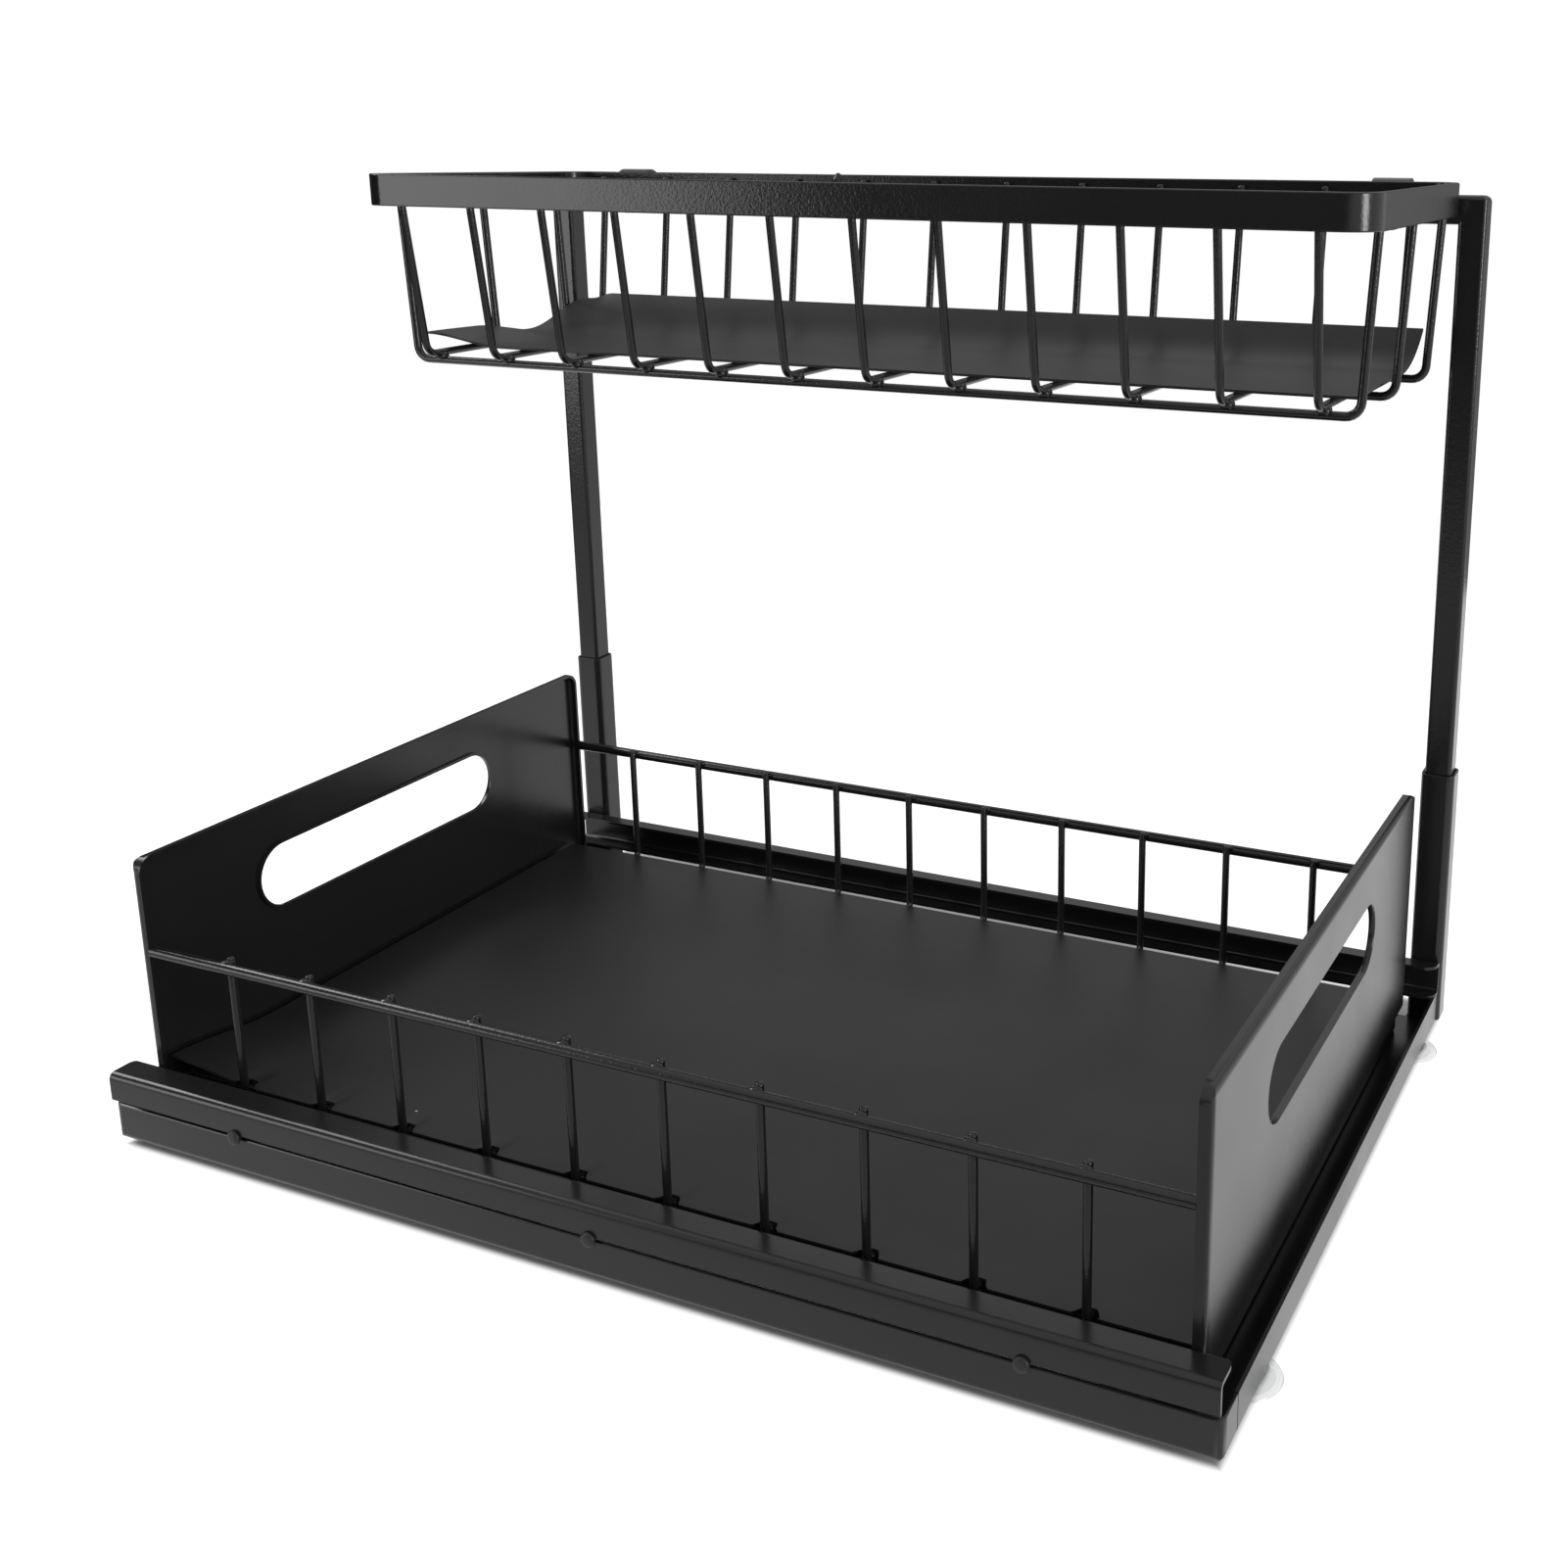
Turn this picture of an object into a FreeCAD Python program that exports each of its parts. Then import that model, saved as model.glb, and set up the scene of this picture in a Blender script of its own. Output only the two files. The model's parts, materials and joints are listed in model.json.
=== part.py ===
import FreeCAD
import Part

import math
import os

# Under sink organizer: a low steel base on suction cups, a pull-out drawer with slotted sheet sides
# and bent wire ends, and a wire basket hooked on an arch of square tube that plugs into two sleeves.
# Millimetres. x runs to the right, y to the rear and z up. The sizes are laid out from the drawer
# lip's front face (y = 0) and the base's underside (z = 0), and moved to the part's frame at the end.

Vector = FreeCAD.Vector
X_AXIS = Vector(1, 0, 0)
Y_AXIS = Vector(0, 1, 0)
Z_AXIS = Vector(0, 0, 1)

# How near a face or an edge must be to the plane it is looked for on
tolerance = 0.01

# Base
base_width = 401.5
base_depth = 284.5
base_wall_height = 13.5
base_sheet = 1.2
base_bend = 2.4
band_setback = 1.2
band_corner = 3.0
band_return = 12.8
floor_margin = 14.0

# Rear beam
beam_height = 13.3
beam_depth = 8.0
beam_sheet = 1.2
beam_bend = 2.4
beam_overhang = 0.25
beam_corner = 5.0

# Suction cups
cup_diameter = 24.2
cup_height = 3.2
cup_edge = 0.8
cup_ring = 2.6
cup_shoulder = 12.0
cup_hollow = 2.0
cup_hollow_top = 6.0
cup_side_inset = 7.55
cup_front_inset = 41.3
cup_rear_inset = 31.7
cup_sides = 16

# Drawer tracks, supports and glides
track_width = 14.0
track_height = 8.4
track_sheet = 1.0
track_bend = 1.6
track_slot = 7.0
track_side_inset = 19.75
track_support_gap = 1.0
track_rear_inset = 14.0
support_width = 11.0
support_length = 10.0
support_round = 2.5
support_setback = 1.6
glide_clearance = 0.3
glide_count = 2
glide_length = 18.0
glide_pitch = 32.0
glide_rear_inset = 10.0
glide_head_width = 12.0
glide_head_height = 2.0
glide_chamfer = 0.8

# Drawer lip
lip_end_inset = 0.75
lip_gap = 1.95
lip_height = 9.85
lip_sheet = 1.2
lip_bend = 2.4
lip_corner = 4.5
ledge_depth = 12.4

# Closing studs
stud_count = 3
stud_spread = 287.0
stud_head = 6.5
stud_head_height = 1.4
stud_head_bevel = 0.6
stud_neck = 4.5
stud_drop = 0.95
stud_fit = 0.1
stud_sides = 12

# Drawer panels
drawer_clearance = 0.5
panel_side_gap = 7.75
panel_sheet = 1.2
drawer_rear_gap = 10.6
panel_height = 87.6
panel_flange = 4.0
panel_bend = 2.4
panel_top_corner = 6.0
panel_bottom_corner = 4.0
slot_length = 129.0
slot_height = 24.0
slot_front_inset = 53.2
slot_drop = 29.8
slot_collar = 1.0
slot_bevel = 0.6

# Wire: an eight-sided section, and straight chords round each bend
wire_sides = 8
bend_chords = 3

# Drawer rails, wires and mat
rail_diameter = 4.0
rail_height = 53.5
rail_setback = 1.6
drawer_wire = 2.8
drawer_wire_count = 10
drawer_wire_margin = 32.3
drawer_wire_bend = 3.5
drawer_wire_rise = 2.7
cross_wire = 2.8
cross_wire_count = 3
cross_wire_inset = 6.6
cross_wire_end_gap = 4.6
drawer_mat_thickness = 1.0
drawer_mat_side_gap = 4.8
drawer_mat_end_gap = 4.1
drawer_mat_corner = 3.0

# Upright and its sleeves
tube_size = 10.0
tube_wall = 1.0
tube_edge = 1.5
upright_height = 315.4
arch_round = 3.0
sleeve_clearance = 0.3
sleeve_wall = 1.0
sleeve_height = 101.0
sleeve_overhang = 1.05

# Basket
basket_margin = 11.55
basket_offset = 3.7
basket_depth = 131.4
basket_drop = 54.1
rim_height = 10.0
rim_bar = 2.0
rim_corner = 9.0
rim_rise = 4.8
basket_wire = 2.8
basket_wire_count = 12
basket_wire_margin = 17.7
basket_wire_lean = 7.5
basket_wire_bend = 5.0
basket_wire_top_gap = 2.0
long_wire = 3.0
long_wire_count = 3
long_wire_lean = 3.0
long_wire_inset = 8.0
basket_mat_thickness = 1.0
basket_mat_side_gap = 1.5
basket_mat_front_gap = 15.4
basket_mat_curl_radius = 48.0
basket_mat_curl_angle = 41.5
basket_mat_rear_gap = 0.3

# Basket hooks
hook_width = 13.5
hook_thickness = 2.0
hook_clearance = 0.3
hook_leg = 18.0
hook_flat = 0.1
hook_tip = 5.0
hook_inset = 27.2

# Places worked out for the base
base_half = base_width / 2
base_front = band_setback
base_rear = base_front + base_depth
seam_y = base_front + band_return
cup_x = base_half - cup_side_inset
cup_places_y = [base_front + cup_front_inset, base_rear - cup_rear_inset]
track_x = base_half - track_side_inset
floor_edge = track_x - track_width / 2 - floor_margin

# Places worked out for the sleeves and the upright
sleeve_inner = tube_size + 2 * sleeve_clearance
sleeve_outer = sleeve_inner + 2 * sleeve_wall
sleeve_x = base_half + sleeve_overhang - sleeve_outer / 2
sleeve_y = base_rear - sleeve_outer / 2
sleeve_front = base_rear - sleeve_outer
tube_front = sleeve_y - tube_size / 2
crossbar_top = base_sheet + upright_height

# Places worked out for the drawer
panel_half = base_half - base_sheet - panel_side_gap
panel_front = ledge_depth
panel_rear = sleeve_front - beam_depth - drawer_rear_gap
panel_bottom = base_wall_height + drawer_clearance
panel_top = panel_bottom + panel_height
flange_edge = panel_half - panel_flange
slot_middle_y = panel_front + slot_front_inset + slot_length / 2
lip_half = base_half - lip_end_inset
lip_bottom = base_wall_height + lip_gap
lip_top = lip_bottom + lip_height
stud_z = lip_bottom - stud_drop
rail_z = panel_bottom + rail_height
front_rail_y = panel_front + rail_setback
rear_rail_y = panel_rear - rail_setback
front_wire_y = front_rail_y + (rail_diameter + drawer_wire) / 2
rear_wire_y = rear_rail_y - (rail_diameter + drawer_wire) / 2
cross_wire_z = panel_bottom + panel_sheet + cross_wire / 2
drawer_wire_z = cross_wire_z + (cross_wire + drawer_wire) / 2
support_front = panel_front + panel_bottom_corner + support_setback
support_rear = support_front + support_length

# Places worked out for the basket
rim_half = base_half - basket_margin
rim_rear = tube_front - hook_clearance - hook_thickness
rim_front = rim_rear - basket_depth
rim_top = crossbar_top + rim_rise
rim_bottom = rim_top - rim_height
basket_wire_z = rim_bottom - basket_drop
long_wire_z = basket_wire_z - (basket_wire + long_wire) / 2
basket_wire_top = rim_top - basket_wire_top_gap
front_leg_top_y = rim_front + rim_bar + basket_wire / 2
rear_leg_top_y = rim_rear - rim_bar - basket_wire / 2
front_leg_low_y = front_leg_top_y + basket_wire_lean
rear_leg_low_y = rear_leg_top_y - basket_wire_lean
long_leg_top_x = rim_half - rim_bar - long_wire / 2
long_leg_low_x = long_leg_top_x - long_wire_lean
hook_rear = tube_front + tube_size + hook_clearance + hook_thickness
hook_bend = (hook_rear - rim_rear - hook_flat) / 2
hook_top = crossbar_top - tube_edge + hook_bend


def spread(first, last, count):
    """Evenly spaced places from first to last."""
    return [first + (last - first) * i / (count - 1) for i in range(count)]


def mirrored(shape):
    """The left-hand copy of a right-hand piece."""
    return shape.mirror(Vector(), X_AXIS)


def rounded_edges(corners, radii):
    """Straight runs through the corners of an open line, joined by tangent arcs."""
    edges = []
    start = corners[0]
    for before, here, after, radius in zip(corners, corners[1:], corners[2:], radii):
        back = (before - here).normalize()
        onward = (after - here).normalize()
        half_angle = back.getAngle(onward) / 2
        arrive = here + back * (radius / math.tan(half_angle))
        leave = here + onward * (radius / math.tan(half_angle))
        edges.append(Part.LineSegment(start, arrive).toShape())
        if radius > 0:
            inward = (back + onward).normalize()
            middle = here + inward * (radius / math.sin(half_angle) - radius)
            edges.append(Part.Arc(arrive, middle, leave).toShape())
        start = leave
    edges.append(Part.LineSegment(start, corners[-1]).toShape())
    return edges


def prism(corners, radii, sweep):
    """A closed outline with rounded corners, swept in a straight line."""
    start = (corners[-1] + corners[0]) / 2
    edges = rounded_edges([start] + corners + [start], radii)
    return Part.Face(Part.Wire(edges)).extrude(sweep)


def folded_strip(corners, thickness, bend, sweep):
    """Sheet folded along an open line of corners, with its thickness to the left of the line."""
    normal = Vector(sweep).normalize()
    runs = [(after - before).normalize() for before, after in zip(corners, corners[1:])]
    lefts = [normal.cross(run) for run in runs]
    beside = [corners[0] + lefts[0] * thickness]
    near_radii = []
    far_radii = []
    for i in range(1, len(runs)):
        turn = runs[i - 1].getAngle(runs[i])
        mitre = (lefts[i - 1] + lefts[i]).normalize()
        beside.append(corners[i] + mitre * (thickness / math.cos(turn / 2)))
        turns_left = lefts[i - 1].dot(runs[i]) > 0
        near_radii.append(bend if turns_left else bend - thickness)
        far_radii.append(bend - thickness if turns_left else bend)
    beside.append(corners[-1] + lefts[-1] * thickness)
    edges = rounded_edges(corners, near_radii)
    edges.append(Part.LineSegment(corners[-1], beside[-1]).toShape())
    edges += rounded_edges(beside[::-1], far_radii[::-1])
    edges.append(Part.LineSegment(beside[0], corners[0]).toShape())
    return Part.Face(Part.Wire(edges)).extrude(sweep)


def polygon_ring(centre, first, second, flats, sides):
    """Points of a regular polygon in the plane of two square axes, by its width across the flats."""
    radius = flats / 2 / math.cos(math.pi / sides)
    ring = []
    for i in range(sides):
        angle = 2 * math.pi * (i + 0.5) / sides
        ring.append(centre + first * (radius * math.cos(angle)) + second * (radius * math.sin(angle)))
    return ring


def flat_face(ring):
    """A flat face inside a ring of points."""
    return Part.Face(Part.makePolygon(ring + ring[:1]))


def faceted_solid(rings):
    """A solid with flat ends, and flat sides from each ring of points to the next."""
    faces = [flat_face(rings[0]), flat_face(rings[-1])]
    for before, after in zip(rings, rings[1:]):
        for i in range(len(before)):
            faces.append(flat_face([before[i - 1], before[i], after[i], after[i - 1]]))
    shell = Part.makeShell(faces)
    shell.sewShape()
    return Part.makeSolid(shell)


def chorded_line(corners, radii):
    """Points of an open line whose corners are rounded by equal chords of an arc."""
    points = [corners[0]]
    for before, here, after, radius in zip(corners, corners[1:], corners[2:], radii):
        back = (before - here).normalize()
        onward = (after - here).normalize()
        half_angle = back.getAngle(onward) / 2
        centre = here + (back + onward).normalize() * (radius / math.sin(half_angle))
        arm = here + back * (radius / math.tan(half_angle)) - centre
        turn_axis = back.cross(onward)
        turn = -math.degrees(math.pi - 2 * half_angle)
        chords = bend_chords if radius > 0 else 0
        for i in range(chords + 1):
            step = FreeCAD.Rotation(turn_axis, turn * i / bend_chords)
            points.append(centre + step.multVec(arm))
    points.append(corners[-1])
    return points


def bent_wire(corners, radii, diameter, plane_normal):
    """Wire along straight runs and chorded bends, all in one plane, with mitred sections."""
    points = chorded_line(corners, radii)
    runs = [(after - before).normalize() for before, after in zip(points, points[1:])]
    sides = [plane_normal.cross(run) for run in runs]
    sections = []
    for point, before, after in zip(points, sides[:1] + sides, sides + sides[-1:]):
        mitre = (before + after).normalize() / math.cos(before.getAngle(after) / 2)
        sections.append(polygon_ring(point, plane_normal, mitre, diameter, wire_sides))
    return faceted_solid(sections)


def edges_on(shape, axis, value):
    """Edges that lie wholly in the plane where the coordinate of that axis has the value."""
    flat = []
    for edge in shape.Edges:
        box = edge.BoundBox
        low = {"x": box.XMin, "y": box.YMin, "z": box.ZMin}[axis]
        high = {"x": box.XMax, "y": box.YMax, "z": box.ZMax}[axis]
        if abs(low - value) < tolerance and abs(high - value) < tolerance:
            flat.append(edge)
    return flat


def box_between(low, high):
    """A block from its low corner to its high corner."""
    size = high - low
    return Part.makeBox(size.x, size.y, size.z, low)


def square_bar(start, along, across, size, radius):
    """A straight square bar with rounded edges; along is its whole length."""
    side = Vector(along).normalize().cross(across)
    half = size / 2
    corners = [
        start - across * half - side * half,
        start + across * half - side * half,
        start + across * half + side * half,
        start - across * half + side * half,
    ]
    return prism(corners, [radius] * 4, along)


def make_right_rail():
    """Side rail of the base: a floor strip and a low wall, cut away round the sleeve."""
    corners = [
        Vector(floor_edge, base_rear, 0),
        Vector(base_half, base_rear, 0),
        Vector(base_half, base_rear, base_wall_height),
    ]
    rail = folded_strip(corners, base_sheet, base_bend, Y_AXIS * (seam_y - base_rear))
    sleeve_room = box_between(
        Vector(floor_edge, sleeve_front, base_sheet),
        Vector(base_half, base_rear, base_wall_height),
    )
    beside_sleeve = box_between(
        Vector(floor_edge, sleeve_front, 0),
        Vector(sleeve_x - sleeve_outer / 2, base_rear, base_sheet),
    )
    return rail.cut(sleeve_room).cut(beside_sleeve)


def make_front_band():
    """Front of the base: a floor strip and a low wall that turns round both front corners."""
    def tray(inset):
        half = base_half - inset
        front = base_front + inset
        height = base_wall_height - inset
        bend = base_bend - inset
        corner = band_corner - inset
        plan = [
            Vector(-half, seam_y, inset),
            Vector(-half, front, inset),
            Vector(half, front, inset),
            Vector(half, seam_y, inset),
        ]
        from_front = [
            Vector(-half, front, inset),
            Vector(half, front, inset),
            Vector(half, front, base_wall_height),
            Vector(-half, front, base_wall_height),
        ]
        from_side = [
            Vector(-half, front, inset),
            Vector(-half, seam_y, inset),
            Vector(-half, seam_y, base_wall_height),
            Vector(-half, front, base_wall_height),
        ]
        block = prism(plan, [0, corner, corner, 0], Z_AXIS * height)
        block = block.common(prism(from_front, [bend, bend, 0, 0], Y_AXIS * (seam_y - front)))
        return block.common(prism(from_side, [bend, 0, 0, 0], X_AXIS * (2 * half)))
    return tray(0).cut(tray(base_sheet))


def make_rear_beam():
    """Channel across the back, open to the front, on the side walls and against the sleeves."""
    half = base_half + beam_overhang
    low = base_wall_height
    high = low + beam_height
    front = sleeve_front - beam_depth
    corners = [
        Vector(-half, front, low),
        Vector(-half, sleeve_front, low),
        Vector(-half, sleeve_front, high),
        Vector(-half, front, high),
    ]
    channel = folded_strip(corners, beam_sheet, beam_bend, X_AXIS * (2 * half))
    plan = [
        Vector(-half, sleeve_front, low),
        Vector(-half, front, low),
        Vector(half, front, low),
        Vector(half, sleeve_front, low),
    ]
    return channel.common(prism(plan, [0, beam_corner, beam_corner, 0], Z_AXIS * beam_height))


def make_right_sleeve():
    """Square tube that holds the post's foot."""
    foot = Vector(sleeve_x, sleeve_y, base_sheet)
    height = Z_AXIS * sleeve_height
    inner_round = tube_edge + sleeve_clearance
    outside = square_bar(foot, height, X_AXIS, sleeve_outer, inner_round + sleeve_wall)
    return outside.cut(square_bar(foot, height, X_AXIS, sleeve_inner, inner_round))


def make_right_track():
    """Lipped channel on the base floor that holds the drawer's glides down."""
    front = support_rear + track_support_gap
    rear = sleeve_front - track_rear_inset
    half = track_width / 2
    low = base_sheet
    high = low + track_height
    corners = [
        Vector(track_x + track_slot / 2, front, high),
        Vector(track_x + half, front, high),
        Vector(track_x + half, front, low),
        Vector(track_x - half, front, low),
        Vector(track_x - half, front, high),
        Vector(track_x - track_slot / 2, front, high),
    ]
    return folded_strip(corners, track_sheet, track_bend, Y_AXIS * (rear - front))


def make_right_support():
    """Block in front of the track that the panel's bottom flange slides on."""
    x = track_x - support_width / 2
    corners = [
        Vector(x, support_front, base_sheet),
        Vector(x, support_rear, base_sheet),
        Vector(x, support_rear, panel_bottom),
        Vector(x, support_front, panel_bottom),
    ]
    return prism(corners, [0, 0, support_round, support_round], X_AXIS * support_width)


def make_right_glides():
    """T-shaped glides under the panel's bottom flange that run inside the track."""
    floor = base_sheet + track_sheet
    foot_top = base_sheet + track_height - track_sheet - glide_clearance
    head_low = panel_bottom - glide_head_height
    foot_half = track_width / 2 - track_sheet - glide_clearance
    neck_half = track_slot / 2 - glide_clearance
    head_half = glide_head_width / 2
    half_outline = [
        (foot_half - glide_chamfer, floor),
        (foot_half, floor + glide_chamfer),
        (foot_half, foot_top - glide_chamfer),
        (foot_half - glide_chamfer, foot_top),
        (neck_half, foot_top),
        (neck_half, head_low),
        (head_half, head_low),
        (head_half, panel_bottom),
    ]
    outline = half_outline + [(-across, up) for across, up in reversed(half_outline)]
    glides = []
    for i in range(glide_count):
        rear = panel_rear - glide_rear_inset - i * glide_pitch
        corners = [Vector(track_x + across, rear, up) for across, up in outline]
        glides.append(prism(corners, [0] * len(corners), Y_AXIS * -glide_length))
    return Part.makeCompound(glides)


def make_suction_cups():
    """Four cups, hollow below, each with a flat shoulder against the base's underside."""
    def ring(diameter, z):
        return polygon_ring(Vector(0, 0, z), X_AXIS, Y_AXIS, diameter, cup_sides)

    rim_rings = [ring(cup_diameter, -cup_height), ring(cup_diameter, cup_edge - cup_height)]
    skirt = faceted_solid(rim_rings + [ring(cup_shoulder, 0)])
    hollow_low = ring(cup_diameter - 2 * cup_ring, -cup_height)
    hollow_high = ring(cup_hollow_top, cup_hollow - cup_height)
    cup = skirt.cut(faceted_solid([hollow_low, hollow_high]))
    cups = []
    for x in (-cup_x, cup_x):
        for y in cup_places_y:
            cups.append(cup.translated(Vector(x, y, 0)))
    return Part.makeCompound(cups)


def make_drawer_lip():
    """Folded strip across the drawer's front: a face, a ledge and a flange against the panels."""
    corners = [
        Vector(lip_half, 0, lip_bottom),
        Vector(lip_half, 0, lip_top),
        Vector(lip_half, ledge_depth, lip_top),
        Vector(lip_half, ledge_depth, lip_bottom),
    ]
    lip = folded_strip(corners, lip_sheet, lip_bend, X_AXIS * (-2 * lip_half))
    plan = [
        Vector(-lip_half, 0, lip_bottom),
        Vector(lip_half, 0, lip_bottom),
        Vector(lip_half, ledge_depth, lip_bottom),
        Vector(-lip_half, ledge_depth, lip_bottom),
    ]
    lip = lip.common(prism(plan, [0, 0, lip_corner, lip_corner], Z_AXIS * lip_height))
    for side in (-1, 1):
        ends = sorted([side * panel_half, side * lip_half])
        beyond_panel = box_between(
            Vector(ends[0], lip_sheet + lip_bend, lip_bottom),
            Vector(ends[1], ledge_depth, lip_top - lip_sheet),
        )
        lip = lip.cut(beyond_panel)
    for x in spread(-stud_spread / 2, stud_spread / 2, stud_count):
        notch = polygon_ring(Vector(x, 0, stud_z), X_AXIS, Z_AXIS, stud_neck + 2 * stud_fit, stud_sides)
        lip = lip.cut(flat_face(notch).extrude(Y_AXIS * lip_sheet))
    return lip


def make_closing_studs():
    """Three studs in the lip's lower edge that meet the base's front wall when the drawer is shut."""
    studs = []
    for x in spread(-stud_spread / 2, stud_spread / 2, stud_count):
        def ring(diameter, y):
            return polygon_ring(Vector(x, y, stud_z), X_AXIS, Z_AXIS, diameter, stud_sides)

        head_rings = [
            ring(stud_head, 0),
            ring(stud_head, stud_head_bevel - stud_head_height),
            ring(stud_head - 2 * stud_head_bevel, -stud_head_height),
        ]
        head = faceted_solid(head_rings)
        neck = flat_face(ring(stud_neck, 0)).extrude(Y_AXIS * base_front)
        studs.append(head.fuse(neck).removeSplitter())
    return Part.makeCompound(studs)


def make_right_panel():
    """Drawer side: sheet with flanges turned in all round and a long slot with a rolled edge."""
    def block(inset):
        outer_x = panel_half - inset
        front = panel_front + inset
        rear = panel_rear - inset
        low = panel_bottom + inset
        high = panel_top - inset
        bend = panel_bend - inset
        from_side = [
            Vector(outer_x, front, low),
            Vector(outer_x, rear, low),
            Vector(outer_x, rear, high),
            Vector(outer_x, front, high),
        ]
        from_front = [
            Vector(flange_edge, front, low),
            Vector(outer_x, front, low),
            Vector(outer_x, front, high),
            Vector(flange_edge, front, high),
        ]
        from_above = [
            Vector(flange_edge, front, low),
            Vector(outer_x, front, low),
            Vector(outer_x, rear, low),
            Vector(flange_edge, rear, low),
        ]
        low_corner = panel_bottom_corner - inset
        high_corner = panel_top_corner - inset
        corners = [low_corner, low_corner, high_corner, high_corner]
        solid = prism(from_side, corners, X_AXIS * (flange_edge - outer_x))
        solid = solid.common(prism(from_front, [0, bend, bend, 0], Y_AXIS * (rear - front)))
        return solid.common(prism(from_above, [0, bend, bend, 0], Z_AXIS * (high - low)))

    def stadium(margin, from_x, to_x):
        reach = slot_length / 2 - slot_height / 2
        radius = slot_height / 2 + margin
        middle = Vector(from_x, slot_middle_y, panel_top - slot_drop)
        low_front = middle + Vector(0, -reach, -radius)
        low_rear = middle + Vector(0, reach, -radius)
        high_rear = middle + Vector(0, reach, radius)
        high_front = middle + Vector(0, -reach, radius)
        edges = [
            Part.LineSegment(low_front, low_rear).toShape(),
            Part.Arc(low_rear, middle + Vector(0, reach + radius, 0), high_rear).toShape(),
            Part.LineSegment(high_rear, high_front).toShape(),
            Part.Arc(high_front, middle - Vector(0, reach + radius, 0), low_front).toShape(),
        ]
        return Part.Face(Part.Wire(edges)).extrude(X_AXIS * (to_x - from_x))

    inside = panel_half - panel_sheet
    collar_edge = inside - slot_collar
    bottom_flange = box_between(
        Vector(track_x - track_width / 2, panel_front + panel_bottom_corner, panel_bottom),
        Vector(flange_edge, panel_rear - panel_bottom_corner, panel_bottom + panel_sheet),
    )
    panel = block(0).cut(block(panel_sheet)).fuse(bottom_flange)
    panel = panel.fuse(stadium(panel_sheet, inside, collar_edge)).removeSplitter()
    panel = panel.cut(stadium(0, panel_half, collar_edge))
    mouth = [
        edge for edge in edges_on(panel, "x", panel_half)
        if abs(edge.CenterOfMass.z - panel_top + slot_drop) <= slot_height / 2 + tolerance
        and abs(edge.CenterOfMass.y - slot_middle_y) <= slot_length / 2
    ]
    return panel.makeChamfer(slot_bevel, mouth)


def make_cross_rail(y):
    """Round rail between the two panels' flanges."""
    return Part.makeCylinder(rail_diameter / 2, 2 * flange_edge, Vector(-flange_edge, y, rail_z), X_AXIS)


def make_drawer_wire(x):
    """Wire bent up at both ends, from the front rail under the mat to the rear rail."""
    top = rail_z + drawer_wire_rise
    corners = [
        Vector(x, front_wire_y, top),
        Vector(x, front_wire_y, drawer_wire_z),
        Vector(x, rear_wire_y, drawer_wire_z),
        Vector(x, rear_wire_y, top),
    ]
    return bent_wire(corners, [drawer_wire_bend] * 2, drawer_wire, X_AXIS)


def make_drawer_cross_wire(y):
    """Straight wire under the drawer wires, on the panels' bottom flanges."""
    half = panel_half - panel_sheet - cross_wire_end_gap
    ends = [Vector(-half, y, cross_wire_z), Vector(half, y, cross_wire_z)]
    return bent_wire(ends, [], cross_wire, Y_AXIS)


def make_drawer_mat():
    """Thin mat that lies loose on the drawer wires."""
    half = flange_edge - drawer_mat_side_gap
    front = front_wire_y + drawer_mat_end_gap
    rear = rear_wire_y - drawer_mat_end_gap
    low = drawer_wire_z + drawer_wire / 2
    corners = [
        Vector(-half, front, low),
        Vector(half, front, low),
        Vector(half, rear, low),
        Vector(-half, rear, low),
    ]
    return prism(corners, [drawer_mat_corner] * 4, Z_AXIS * drawer_mat_thickness)


def make_upright():
    """Arch of square tube, as two posts and a crossbar that meet at mitres."""
    outer_x = sleeve_x + tube_size / 2
    inner_x = sleeve_x - tube_size / 2
    bar_z = crossbar_top - tube_size / 2
    depth = Y_AXIS * tube_size
    height = Z_AXIS * upright_height
    length = X_AXIS * (2 * outer_x)

    def tube(start, along, across):
        bore = tube_size - 2 * tube_wall
        solid = square_bar(start, along, across, tube_size, tube_edge)
        return solid.cut(square_bar(start, along, across, bore, tube_edge - tube_wall))

    arch_outline = [
        Vector(-outer_x, tube_front, base_sheet),
        Vector(outer_x, tube_front, base_sheet),
        Vector(outer_x, tube_front, crossbar_top),
        Vector(-outer_x, tube_front, crossbar_top),
    ]
    arch_room = prism(arch_outline, [0, 0, arch_round, arch_round], depth)
    above_mitres = [
        Vector(-outer_x, tube_front, crossbar_top),
        Vector(outer_x, tube_front, crossbar_top),
        Vector(inner_x, tube_front, crossbar_top - tube_size),
        Vector(-inner_x, tube_front, crossbar_top - tube_size),
    ]
    crossbar_room = prism(above_mitres, [0] * 4, depth)
    left_post = tube(Vector(-sleeve_x, sleeve_y, base_sheet), height, X_AXIS)
    right_post = tube(Vector(sleeve_x, sleeve_y, base_sheet), height, X_AXIS)
    crossbar = tube(Vector(-outer_x, sleeve_y, bar_z), length, Y_AXIS)
    left_post = left_post.common(arch_room).cut(crossbar_room)
    right_post = right_post.common(arch_room).cut(crossbar_room)
    return left_post, right_post, crossbar.common(arch_room).common(crossbar_room)


def make_basket_rim():
    """Flat bar bent round the basket's top."""
    def loop(inset):
        half = rim_half - inset
        corners = [
            Vector(basket_offset - half, rim_front + inset, rim_bottom),
            Vector(basket_offset + half, rim_front + inset, rim_bottom),
            Vector(basket_offset + half, rim_rear - inset, rim_bottom),
            Vector(basket_offset - half, rim_rear - inset, rim_bottom),
        ]
        return prism(corners, [rim_corner - inset] * 4, Z_AXIS * rim_height)
    return loop(0).cut(loop(rim_bar))


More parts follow.
